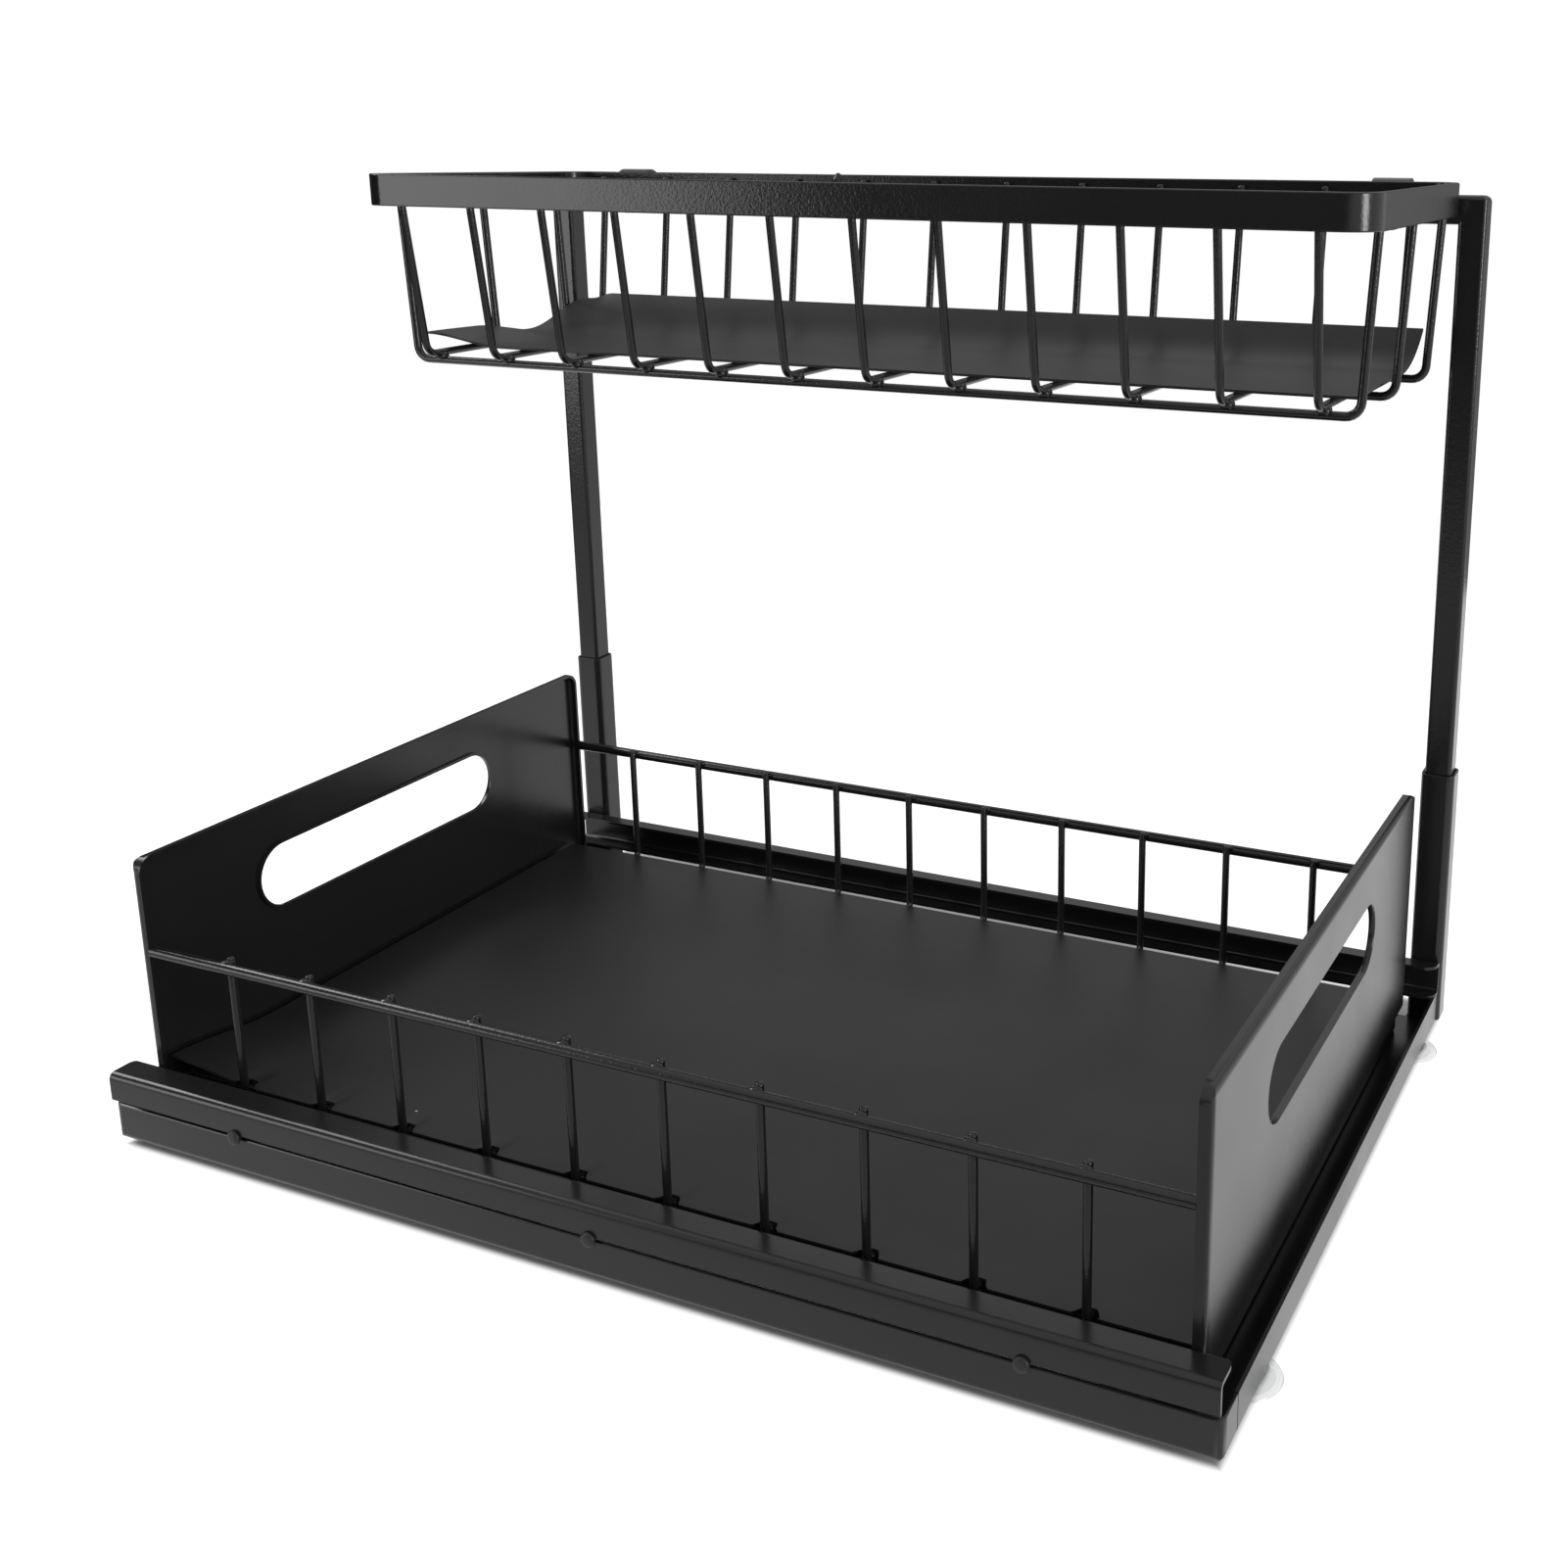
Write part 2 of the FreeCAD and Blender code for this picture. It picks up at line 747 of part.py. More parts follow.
def make_basket_wire(x):
    """Basket wire: down inside the front of the rim, under the mat and up to the rear."""
    corners = [
        Vector(x, front_leg_top_y, basket_wire_top),
        Vector(x, front_leg_top_y, rim_bottom),
        Vector(x, front_leg_low_y, basket_wire_z),
        Vector(x, rear_leg_low_y, basket_wire_z),
        Vector(x, rear_leg_top_y, rim_bottom),
        Vector(x, rear_leg_top_y, basket_wire_top),
    ]
    return bent_wire(corners, [0, basket_wire_bend, basket_wire_bend, 0], basket_wire, X_AXIS)


def make_basket_long_wire(y):
    """Long wire under the basket wires, up both ends of the basket to the rim."""
    half_line = [
        (long_leg_top_x, basket_wire_top),
        (long_leg_top_x, rim_bottom),
        (long_leg_low_x, long_wire_z),
    ]
    line = [(-across, up) for across, up in half_line] + half_line[::-1]
    corners = [Vector(basket_offset + across, y, up) for across, up in line]
    return bent_wire(corners, [0, basket_wire_bend, basket_wire_bend, 0], long_wire, Y_AXIS)


def make_basket_mat():
    """Thin mat on the basket wires, curling up against the rear wires."""
    half = long_leg_low_x - long_wire / 2 - basket_mat_side_gap
    low = basket_wire_z + basket_wire / 2
    angle = math.radians(basket_mat_curl_angle)
    outer = basket_mat_curl_radius
    inner = outer - basket_mat_thickness
    front = front_leg_low_y + basket_mat_front_gap
    curl_end = rear_leg_low_y - basket_mat_rear_gap
    curl_start = curl_end - outer * math.sin(angle)
    x = basket_offset - half
    centre = Vector(x, curl_start, low + outer)

    def on_curl(radius, turn):
        return centre + Vector(0, math.sin(turn), -math.cos(turn)) * radius

    edges = [
        Part.LineSegment(Vector(x, front, low), on_curl(outer, 0)).toShape(),
        Part.Arc(on_curl(outer, 0), on_curl(outer, angle / 2), on_curl(outer, angle)).toShape(),
        Part.LineSegment(on_curl(outer, angle), on_curl(inner, angle)).toShape(),
        Part.Arc(on_curl(inner, angle), on_curl(inner, angle / 2), on_curl(inner, 0)).toShape(),
        Part.LineSegment(on_curl(inner, 0), Vector(x, front, low + basket_mat_thickness)).toShape(),
        Part.LineSegment(Vector(x, front, low + basket_mat_thickness), Vector(x, front, low)).toShape(),
    ]
    return Part.Face(Part.Wire(edges)).extrude(X_AXIS * (2 * half))


def make_hook(x):
    """Strap bent in an arch over the crossbar's rounded edges, fixed to the back of the rim."""
    low = hook_top - hook_leg
    left = x - hook_width / 2
    corners = [
        Vector(left, hook_rear, low),
        Vector(left, hook_rear, hook_top),
        Vector(left, rim_rear, hook_top),
        Vector(left, rim_rear, low),
    ]
    strap = folded_strip(corners, hook_thickness, hook_bend, X_AXIS * hook_width)
    face = [
        Vector(left, rim_rear, low),
        Vector(left + hook_width, rim_rear, low),
        Vector(left + hook_width, rim_rear, hook_top),
        Vector(left, rim_rear, hook_top),
    ]
    return strap.common(prism(face, [hook_tip, hook_tip, 0, 0], Y_AXIS * (hook_rear - rim_rear)))


def make_pieces():
    """Every piece of the organizer by its name."""
    right_rail = make_right_rail()
    right_sleeve = make_right_sleeve()
    right_track = make_right_track()
    right_support = make_right_support()
    right_glides = make_right_glides()
    right_panel = make_right_panel()
    left_post, right_post, crossbar = make_upright()
    pieces = {
        "left_base_rail": mirrored(right_rail),
        "right_base_rail": right_rail,
        "front_band": make_front_band(),
        "rear_beam": make_rear_beam(),
        "left_sleeve": mirrored(right_sleeve),
        "right_sleeve": right_sleeve,
        "left_track": mirrored(right_track),
        "right_track": right_track,
        "left_support": mirrored(right_support),
        "right_support": right_support,
        "suction_cups": make_suction_cups(),
        "drawer_lip": make_drawer_lip(),
        "closing_studs": make_closing_studs(),
        "left_panel": mirrored(right_panel),
        "right_panel": right_panel,
        "left_glides": mirrored(right_glides),
        "right_glides": right_glides,
        "front_rail": make_cross_rail(front_rail_y),
        "rear_rail": make_cross_rail(rear_rail_y),
        "drawer_mat": make_drawer_mat(),
        "left_post": left_post,
        "right_post": right_post,
        "crossbar": crossbar,
        "basket_rim": make_basket_rim(),
        "basket_mat": make_basket_mat(),
        "left_hook": make_hook(basket_offset - rim_half + hook_inset),
        "right_hook": make_hook(basket_offset + rim_half - hook_inset),
    }
    reach = flange_edge - drawer_wire_margin
    for i, x in enumerate(spread(-reach, reach, drawer_wire_count)):
        pieces[f"drawer_wire_{i + 1:02d}"] = make_drawer_wire(x)
    ends = [front_wire_y + cross_wire_inset, rear_wire_y - cross_wire_inset]
    for i, y in enumerate(spread(ends[0], ends[1], cross_wire_count)):
        pieces[f"drawer_cross_wire_{i + 1}"] = make_drawer_cross_wire(y)
    reach = rim_half - basket_wire_margin
    for i, x in enumerate(spread(basket_offset - reach, basket_offset + reach, basket_wire_count)):
        pieces[f"basket_wire_{i + 1:02d}"] = make_basket_wire(x)
    ends = [front_leg_low_y + long_wire_inset, rear_leg_low_y - long_wire_inset]
    for i, y in enumerate(spread(ends[0], ends[1], long_wire_count)):
        pieces[f"basket_long_wire_{i + 1}"] = make_basket_long_wire(y)
    return pieces


def main():
    """Move the pieces to the part's frame, with the cups' feet at z = 0, and write them."""
    os.makedirs("parts", exist_ok=True)
    middle_y = (hook_rear - stud_head_height) / 2
    to_frame = Vector(0, -middle_y, cup_height)
    for name, shape in make_pieces().items():
        shape.translated(to_frame).exportStep(os.path.join("parts", name + ".step"))


main()
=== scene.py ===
# %% [markdown]
# An under sink organizer, dressed in Blender. The real one is black powder-coated steel: a drawer of folded
# sheet and bent wire on a low base, and a wire basket hooked on an arch of square tube. The solid model
# already gives each piece its true size, so this lesson loads it as a fixed frame, and adds what a solid
# model leaves out: round drawn wire, spot welds, soft mats, clear cups, and the finish of every surface.

# %% Load the frame
import json
import math

import bpy
from mathutils import Euler, Matrix, Vector


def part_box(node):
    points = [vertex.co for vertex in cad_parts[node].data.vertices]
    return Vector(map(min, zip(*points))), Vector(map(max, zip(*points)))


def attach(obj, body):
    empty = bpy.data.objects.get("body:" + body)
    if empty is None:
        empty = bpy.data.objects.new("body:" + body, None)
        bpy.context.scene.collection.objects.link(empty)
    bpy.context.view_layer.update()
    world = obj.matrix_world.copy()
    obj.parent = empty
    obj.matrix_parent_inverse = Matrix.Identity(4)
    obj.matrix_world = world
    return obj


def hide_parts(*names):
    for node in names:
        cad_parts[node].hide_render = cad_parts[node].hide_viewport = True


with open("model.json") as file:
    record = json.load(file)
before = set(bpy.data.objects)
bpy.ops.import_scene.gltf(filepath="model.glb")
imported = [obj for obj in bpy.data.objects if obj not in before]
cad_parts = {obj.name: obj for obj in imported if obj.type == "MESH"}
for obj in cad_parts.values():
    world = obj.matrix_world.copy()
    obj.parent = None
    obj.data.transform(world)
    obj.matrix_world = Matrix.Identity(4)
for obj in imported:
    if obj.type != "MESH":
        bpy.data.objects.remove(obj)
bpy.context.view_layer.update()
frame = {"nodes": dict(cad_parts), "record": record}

MM = 0.001

# %% [markdown]
# The camera comes first, so that every later step can be looked at from the photograph's place. Its place,
# turn and lens were worked out from the straight edges of the object. The picture is a crop of a larger
# frame, so the lens is shifted instead of the camera being turned.

# %% Camera
CAMERA_PLACE = (0.31944, -0.54626, 0.34645)
CAMERA_TURN = math.radians(24.271)
CAMERA_TILT = math.radians(90 - 14.867)
CAMERA_ROLL = math.radians(-0.076)
FOCAL_PIXELS = 1906.97
PICTURE_PIXELS = 1601
PICTURE_MIDDLE = (1021.67, 626.61)
NEAREST_SEEN = 10 * MM

bpy.ops.object.select_all(action="DESELECT")
bpy.ops.object.camera_add(location=CAMERA_PLACE)
camera = bpy.context.active_object
camera.name = "photo_camera"
turn = Euler((CAMERA_TILT, 0, CAMERA_TURN)).to_matrix() @ Euler((0, 0, CAMERA_ROLL)).to_matrix()
camera.rotation_euler = turn.to_euler()
camera.data.lens = camera.data.sensor_width * FOCAL_PIXELS / PICTURE_PIXELS
camera.data.shift_x = 0.5 - PICTURE_MIDDLE[0] / PICTURE_PIXELS
camera.data.shift_y = PICTURE_MIDDLE[1] / PICTURE_PIXELS - 0.5
camera.data.clip_start = NEAREST_SEEN
bpy.context.scene.camera = camera
print("camera lens", round(camera.data.lens, 2), "mm")

# %% [markdown]
# The looks are small networks of nodes, and a few helpers keep them short. Each makes one kind of node, and
# feeds every input with either a constant or the output of another node.

# %% Helpers: nodes


def feed(socket, value):
    """Link an output to an input socket, or set the socket to a constant."""
    if isinstance(value, bpy.types.NodeSocket):
        socket.id_data.links.new(value, socket)
    else:
        socket.default_value = value


def math_node(nodes, operation, *values):
    """The output of a math node."""
    node = nodes.new("ShaderNodeMath")
    node.operation = operation
    for socket, value in zip(node.inputs, values):
        feed(socket, value)
    return node.outputs[0]


def ramp_node(nodes, value, start, end, low, high, shape="LINEAR"):
    """The output of a map range node: low up to start, high from end on, and a ramp between."""
    node = nodes.new("ShaderNodeMapRange")
    node.interpolation_type = shape
    labels = ("Value", "From Min", "From Max", "To Min", "To Max")
    for label, given in zip(labels, (value, start, end, low, high)):
        feed(node.inputs[label], given)
    return node.outputs[0]


def bump_node(nodes, height, depth):
    """The output of a bump node, for a height of 0 to 1 and a depth in metres."""
    node = nodes.new("ShaderNodeBump")
    feed(node.inputs["Height"], height)
    feed(node.inputs["Distance"], depth)
    return node.outputs[0]


print("node helpers ready")

# %% [markdown]
# The organizer stands on a white sweep under soft light, as in a product studio. A black coat has little
# colour of its own, so most of what the eye sees on it is the room mirrored in it. The floor is painted
# grey and takes the object's shadow. On top of that it glows to the camera and in reflections, so that it
# shows as white. The glow is left out in a patch over the base's footprint, which is a painted shadow; inside
# it the grey paint shows the real shade. In front, the glow is dimmer in reflections than to the camera,
# which is a painted shade that only mirroring faces see. The painted shadow ends sharply at the front and
# the sides, and fades out just behind the base, a little sooner on the right.

# %% Where the floor glows, and its painted shadow
FLOOR_SIZE = 1.7
FLOOR_GLOW = 0.82
PAINTED_SHADOW_SIDE = 0.1985
PAINTED_SHADOW_FRONT = -0.1385
PAINTED_SHADOW_EDGE = (-0.001, 0.0025)
PAINTED_SHADOW_FADE = (0.1568, 0.163)
PAINTED_SHADOW_SLANT = 0.03
FRONT_REFLECTION_SHADE_FADE = (-0.20, -0.13)
FRONT_REFLECTION_SHADED_GLOW = 0.38

bpy.ops.object.select_all(action="DESELECT")
bpy.ops.mesh.primitive_plane_add(size=FLOOR_SIZE)
floor = bpy.context.active_object
floor.name = "studio_floor"
floor_paint = bpy.data.materials.new("floor_paint")
floor_paint.use_nodes = True
nodes = floor_paint.node_tree.nodes
place = nodes.new("ShaderNodeTexCoord")
spot = nodes.new("ShaderNodeSeparateXYZ")
feed(spot.inputs[0], place.outputs["Object"])
across, along = spot.outputs["X"], spot.outputs["Y"]
# Painted shadow: the glow stops at the base's sides and front, whatever the light does there.
past_side = math_node(nodes, "SUBTRACT", math_node(nodes, "ABSOLUTE", across), PAINTED_SHADOW_SIDE)
past_front = math_node(nodes, "SUBTRACT", PAINTED_SHADOW_FRONT, along)
outside = math_node(nodes, "MAXIMUM", past_side, past_front)
clear = ramp_node(nodes, outside, *PAINTED_SHADOW_EDGE, 0, FLOOR_GLOW, "SMOOTHSTEP")
# Behind the base the painted shadow fades out along a slant, a little sooner on the right.
slanted = math_node(nodes, "MULTIPLY_ADD", across, PAINTED_SHADOW_SLANT, along)
behind = ramp_node(nodes, slanted, *PAINTED_SHADOW_FADE, 0, FLOOR_GLOW, "SMOOTHSTEP")
around = math_node(nodes, "MAXIMUM", clear, behind)
# Painted shade in reflections: in front of the base, mirroring faces see the floor's glow dimmed to this
# share.
front_reflection_shade = ramp_node(nodes, along, *FRONT_REFLECTION_SHADE_FADE, FRONT_REFLECTION_SHADED_GLOW, 1)
print("floor", FLOOR_SIZE, "m square")

# %% [markdown]
# The glow is only for rays that show the floor: from the camera, from a mirroring surface or through a clear
# one. The rays that carry light to the object meet plain grey paint.

# %% Floor paint
FLOOR_PAINT = 0.4

path = nodes.new("ShaderNodeLightPath")
mirrored = path.outputs["Is Glossy Ray"]
seen = math_node(nodes, "MAXIMUM", path.outputs["Is Camera Ray"], mirrored)
seen = math_node(nodes, "MAXIMUM", seen, path.outputs["Is Transmission Ray"])
# Mirroring rays take the dimmed front glow, a painted shade; camera and clear rays take the full glow.
share = ramp_node(nodes, mirrored, 0, 1, 1, front_reflection_shade)
glow = nodes.new("ShaderNodeEmission")
feed(glow.inputs["Strength"], math_node(nodes, "MULTIPLY", math_node(nodes, "MULTIPLY", around, seen), share))
matte = nodes.new("ShaderNodeBsdfDiffuse")
feed(matte.inputs["Color"], (FLOOR_PAINT, FLOOR_PAINT, FLOOR_PAINT, 1))
both = nodes.new("ShaderNodeAddShader")
feed(both.inputs[0], matte.outputs[0])
feed(both.inputs[1], glow.outputs[0])
nodes.remove(nodes["Principled BSDF"])
feed(nodes["Material Output"].inputs["Surface"], both.outputs[0])
floor.data.materials.append(floor_paint)
print("floor paint of", len(nodes), "nodes")

# %% [markdown]
# The room is bright overhead and on the right, and dim at eye level and on the far left, where nothing white
# stands. Faces that look up or to the right mirror the bright part, and faces that look at the camera mirror
# the dim one. To the camera, and through the clear cups, the room is plain white.

# %% Sky
SKY_FADE = (0.15, 0.55)
SKY_DIM = 0.15
SKY_BRIGHT = 1.0
LEFT_FADE = (-0.66, -0.50)
LEFT_DIM = 0.15

scene = bpy.context.scene
scene.view_settings.view_transform = "Standard"
sky = bpy.data.worlds.new("studio_sky")
sky.use_nodes = True
scene.world = sky
nodes = sky.node_tree.nodes
place = nodes.new("ShaderNodeTexCoord")
heading = nodes.new("ShaderNodeSeparateXYZ")
feed(heading.inputs[0], place.outputs["Generated"])
rightward, upward = heading.outputs["X"], heading.outputs["Z"]
lit = ramp_node(nodes, math_node(nodes, "MAXIMUM", rightward, upward), *SKY_FADE, SKY_DIM, SKY_BRIGHT)
room = math_node(nodes, "MULTIPLY", lit, ramp_node(nodes, rightward, *LEFT_FADE, LEFT_DIM, 1))
path = nodes.new("ShaderNodeLightPath")
white = math_node(nodes, "MAXIMUM", path.outputs["Is Camera Ray"], path.outputs["Is Transmission Ray"])
background = nodes["Background"]
feed(background.inputs["Color"], (1, 1, 1, 1))
feed(background.inputs["Strength"], math_node(nodes, "MAXIMUM", room, white))
print("sky from", SKY_DIM, "to", SKY_BRIGHT)

# %% [markdown]
# Three softboxes add the highlights: the key at the front left lies along the rim, one on the right streaks
# the upright wires, and one overhead on the left draws a line along every rounded top edge.

# %% Lamps


def softbox(name, place, target, size, watts):
    """A square studio lamp that faces a point."""
    bpy.ops.object.select_all(action="DESELECT")
    bpy.ops.object.light_add(type="AREA", location=place)
    lamp = bpy.context.active_object
    lamp.name = name
    lamp.data.size = size
    lamp.data.energy = watts
    lamp.rotation_euler = (Vector(target) - Vector(place)).to_track_quat("-Z", "Y").to_euler()
    print(name, watts, "W")


softbox("key_softbox", place=(-1.03, -1.04, 0.32), target=(-0.1, 0, 0.25), size=0.56, watts=4.4)
softbox("right_softbox", place=(1.3, -0.45, 0.33), target=(0, 0, 0.3), size=0.36, watts=5.6)
softbox("top_softbox", place=(-0.92, -0.02, 0.85), target=(-0.1, -0.1, 0.05), size=0.5, watts=6.0)

# %% [markdown]
# Powder coat is sprayed on as dust and melts in an oven, so it dries with a fine orange peel, and it is a
# little shinier in some places than in others. Both come from noise, and every coated piece uses them, so
# they are one node group with named sockets.

# %% Group: coat grain
PEEL_DETAIL = 1.5
FINE_DETAIL = 1.0
FINE_SHARE = 0.3
PATCH_SCALE = 16
PATCH_DETAIL = 3


def new_group(name, inputs, outputs):
    """An empty shader node group with number sockets, and its two end nodes."""
    group = bpy.data.node_groups.new(name, "ShaderNodeTree")
    for label, value in inputs:
        socket = group.interface.new_socket(label, in_out="INPUT", socket_type="NodeSocketFloat")
        socket.default_value = value
    for label in outputs:
        group.interface.new_socket(label, in_out="OUTPUT", socket_type="NodeSocketFloat")
    return group, group.nodes.new("NodeGroupInput"), group.nodes.new("NodeGroupOutput")


def noise_node(nodes, where, scale, detail):
    """The output of a noise node."""
    node = nodes.new("ShaderNodeTexNoise")
    for label, given in zip(("Vector", "Scale", "Detail"), (where, scale, detail)):
        feed(node.inputs[label], given)
    return node.outputs[0]


grain, start, end = new_group("coat_grain", [("Peel Scale", 700), ("Fine Scale", 2600)], ["Height", "Patch"])
place = grain.nodes.new("ShaderNodeTexCoord").outputs["Object"]
blend = grain.nodes.new("ShaderNodeMix")
feed(blend.inputs["Factor"], FINE_SHARE)
feed(blend.inputs["A"], noise_node(grain.nodes, place, start.outputs["Peel Scale"], PEEL_DETAIL))
feed(blend.inputs["B"], noise_node(grain.nodes, place, start.outputs["Fine Scale"], FINE_DETAIL))
feed(end.inputs["Height"], blend.outputs["Result"])
feed(end.inputs["Patch"], noise_node(grain.nodes, place, PATCH_SCALE, PATCH_DETAIL))
print("group:", grain.name)

# %% [markdown]
# A second group scatters the few pale specks of lint that cling to any black thing. Space is split into
# cells, a share of the cells is chosen by their random colour, and each of those gets one small dot.

# %% Group: lint specks
lint, start, end = new_group("lint_specks", [("Scale", 60), ("Share", 0.08), ("Size", 0.03)], ["Mask"])
place = lint.nodes.new("ShaderNodeTexCoord").outputs["Object"]
cells = lint.nodes.new("ShaderNodeTexVoronoi")
feed(cells.inputs["Vector"], place)
feed(cells.inputs["Scale"], start.outputs["Scale"])
split = lint.nodes.new("ShaderNodeSeparateColor")
feed(split.inputs[0], cells.outputs["Color"])
chosen = math_node(lint.nodes, "LESS_THAN", split.outputs[0], start.outputs["Share"])
near = math_node(lint.nodes, "LESS_THAN", cells.outputs["Distance"], start.outputs["Size"])
feed(end.inputs["Mask"], math_node(lint.nodes, "MULTIPLY", chosen, near))
print("group:", lint.name)

# %% [markdown]
# Every dark finish is the same kind of surface: a black ground with pale lint on it, a shine that changes
# from patch to patch, and a bumpy skin. One function builds it.

# %% Helper: dark finish
LINT_TONE = (0.32, 0.31, 0.30, 1)
COAT_SPECULAR = 0.35
PATCH_RANGE = (0.3, 0.7)


def group_node(nodes, group, **values):
    """A node that holds a group, with its inputs set; an underscore in a label stands for a space."""
    node = nodes.new("ShaderNodeGroup")
    node.node_tree = group
    for label, value in values.items():
        feed(node.inputs[label.replace("_", " ")], value)
    return node


def colour_mix(nodes, factor, first, second):
    """The output of a node that mixes two colours."""
    node = nodes.new("ShaderNodeMix")
    node.data_type = "RGBA"
    for label, given in zip(("Factor", "A", "B"), (factor, first, second)):
        feed(node.inputs[label], given)
    return node.outputs["Result"]


def dark_finish(name, tones, shine, grains, depth, specks):
    """A dark material: two ground tones, two roughness limits, two grain scales, bump depth and lint."""
    material = bpy.data.materials.new(name)
    material.use_nodes = True
    nodes = material.node_tree.nodes
    skin = group_node(nodes, grain, Peel_Scale=grains[0], Fine_Scale=grains[1])
    dust = group_node(nodes, lint, Scale=specks[0], Share=specks[1], Size=specks[2])
    ground = colour_mix(nodes, skin.outputs["Height"], (*tones[0], 1), (*tones[1], 1))
    shader = nodes["Principled BSDF"]
    feed(shader.inputs["Specular IOR Level"], COAT_SPECULAR)
    feed(shader.inputs["Base Color"], colour_mix(nodes, dust.outputs["Mask"], ground, LINT_TONE))
    feed(shader.inputs["Roughness"], ramp_node(nodes, skin.outputs["Patch"], *PATCH_RANGE, *shine))
    feed(shader.inputs["Normal"], bump_node(nodes, skin.outputs["Height"], depth))
    print("dark finish:", name)
    return material


# %% [markdown]
# Each finish gives its own tone, shine and grain. The sheet pieces have a fine skin, the bars and wires a
# coarser one because coating gathers on thin stock, and the mats are a duller vinyl with a much finer grain.

# %% Dark finishes
sheet_coat = dark_finish("sheet_coat", tones=[(0.006, 0.006, 0.0064), (0.010, 0.010, 0.0105)],
                         shine=(0.20, 0.28), grains=(900, 2600), depth=0.02 * MM, specks=(70, 0.06, 0.035))
bar_coat = dark_finish("bar_coat", tones=[(0.006, 0.006, 0.0064), (0.011, 0.011, 0.0115)],
                       shine=(0.14, 0.20), grains=(900, 2400), depth=0.08 * MM, specks=(70, 0.05, 0.03))
mat_vinyl = dark_finish("mat_vinyl", tones=[(0.004, 0.004, 0.0042), (0.012, 0.012, 0.0125)],
                        shine=(0.40, 0.48), grains=(1900, 4200), depth=0.03 * MM, specks=(55, 0.10, 0.03))
nylon = dark_finish("nylon", tones=[(0.020, 0.020, 0.020), (0.028, 0.028, 0.028)],
                    shine=(0.45, 0.55), grains=(300, 1500), depth=0.01 * MM, specks=(40, 0.02, 0.03))
stud_rubber = dark_finish("stud_rubber", tones=[(0.009, 0.009, 0.009), (0.014, 0.014, 0.014)],
                          shine=(0.38, 0.48), grains=(800, 2400), depth=0.01 * MM, specks=(60, 0.02, 0.03))

# %% [markdown]
# The cups are clear soft vinyl. Light goes through, bends a little, and picks up a faint haze, so the
# material is a rough glass with a cloudy roughness.

# %% Clear vinyl
CLEAR_TONE = (0.70, 0.71, 0.71, 1)
CLEAR_IOR = 1.45
CLEAR_ROUGH = (0.05, 0.18)
RIPPLE_DEPTH = 0.02 * MM

clear_vinyl = bpy.data.materials.new("clear_vinyl")
clear_vinyl.use_nodes = True
nodes = clear_vinyl.node_tree.nodes
haze = group_node(nodes, grain, Peel_Scale=240, Fine_Scale=900)
shader = nodes["Principled BSDF"]
feed(shader.inputs["Transmission Weight"], 1.0)
feed(shader.inputs["IOR"], CLEAR_IOR)
feed(shader.inputs["Base Color"], CLEAR_TONE)
feed(shader.inputs["Roughness"], ramp_node(nodes, haze.outputs["Patch"], 0, 1, *CLEAR_ROUGH))
feed(shader.inputs["Normal"], bump_node(nodes, haze.outputs["Height"], RIPPLE_DEPTH))
print("clear finish:", clear_vinyl.name)

# %% [markdown]
# The solid pieces whose shape is already right only need their finish. The record says which slot each
# node takes, and bars and tubes take the coarser coat.

# %% Finishes on the solid pieces
FINISH_OF_SLOT = {
    "black_coat": sheet_coat, "mat_vinyl": mat_vinyl, "clear_vinyl": clear_vinyl,
    "nylon": nylon, "stud_rubber": stud_rubber,
}
BAR_NODES = ("left_hook", "right_hook", "front_rail", "rear_rail",
             "left_post", "right_post", "crossbar", "left_sleeve", "right_sleeve")

for row in frame["record"]["subparts"]:
    finish = bar_coat if row["node"] in BAR_NODES else FINISH_OF_SLOT[row["material_slot"]]
    frame["nodes"][row["node"]].material_slots[0].material = finish

# %% [markdown]
# Sheet and bar are cut or sawn to size, and the coating rounds every cut edge a little. A knife-sharp edge
# never catches the light, so the solid pieces get a small bevel. Their meshes are loose triangles, so a
# weld modifier joins them first, and only true corners are bevelled.

# %% Rounded edges on sheet, sleeves and hooks
EDGE_ROUND_MM = {
    "left_hook": 0.5, "right_hook": 0.5,
    "left_panel": 0.25, "right_panel": 0.25, "drawer_lip": 0.56, "front_band": 0.56,
    "left_base_rail": 0.25, "right_base_rail": 0.25, "rear_beam": 0.25,
    "left_sleeve": 0.25, "right_sleeve": 0.25,
}
JOIN_WITHIN = 0.005 * MM
TRUE_CORNER = math.radians(50)


def add_bevel(piece, width):
    """A bevel modifier on a piece's true corners."""
    bevel = piece.modifiers.new("rounded_edges", "BEVEL")
    bevel.width = width
    bevel.segments = 2
    bevel.limit_method = "ANGLE"
    bevel.angle_limit = TRUE_CORNER
    return bevel


for name, width in EDGE_ROUND_MM.items():
    node = frame["nodes"][name]
    weld = node.modifiers.new("join_triangles", "WELD")
    weld.merge_threshold = JOIN_WITHIN
    add_bevel(node, width * MM)
    normals = node.modifiers.new("flat_faces", "WEIGHTED_NORMAL")
    normals.keep_sharp = True
print("rounded edges on", len(EDGE_ROUND_MM), "nodes")

# %% [markdown]
# Drawn wire is round, and it is bent on a former, so each bend is a clean arc. A ring of edges is pushed
# along each straight run and spun round each bend, which is how the wire itself is made.

# %% Helpers: sweep a ring
BEND_STEPS = 6


def push_ring(offset):
    """Extrude the selected ring of edges along an offset."""
    bpy.ops.mesh.extrude_region_move(TRANSFORM_OT_translate={"value": offset})


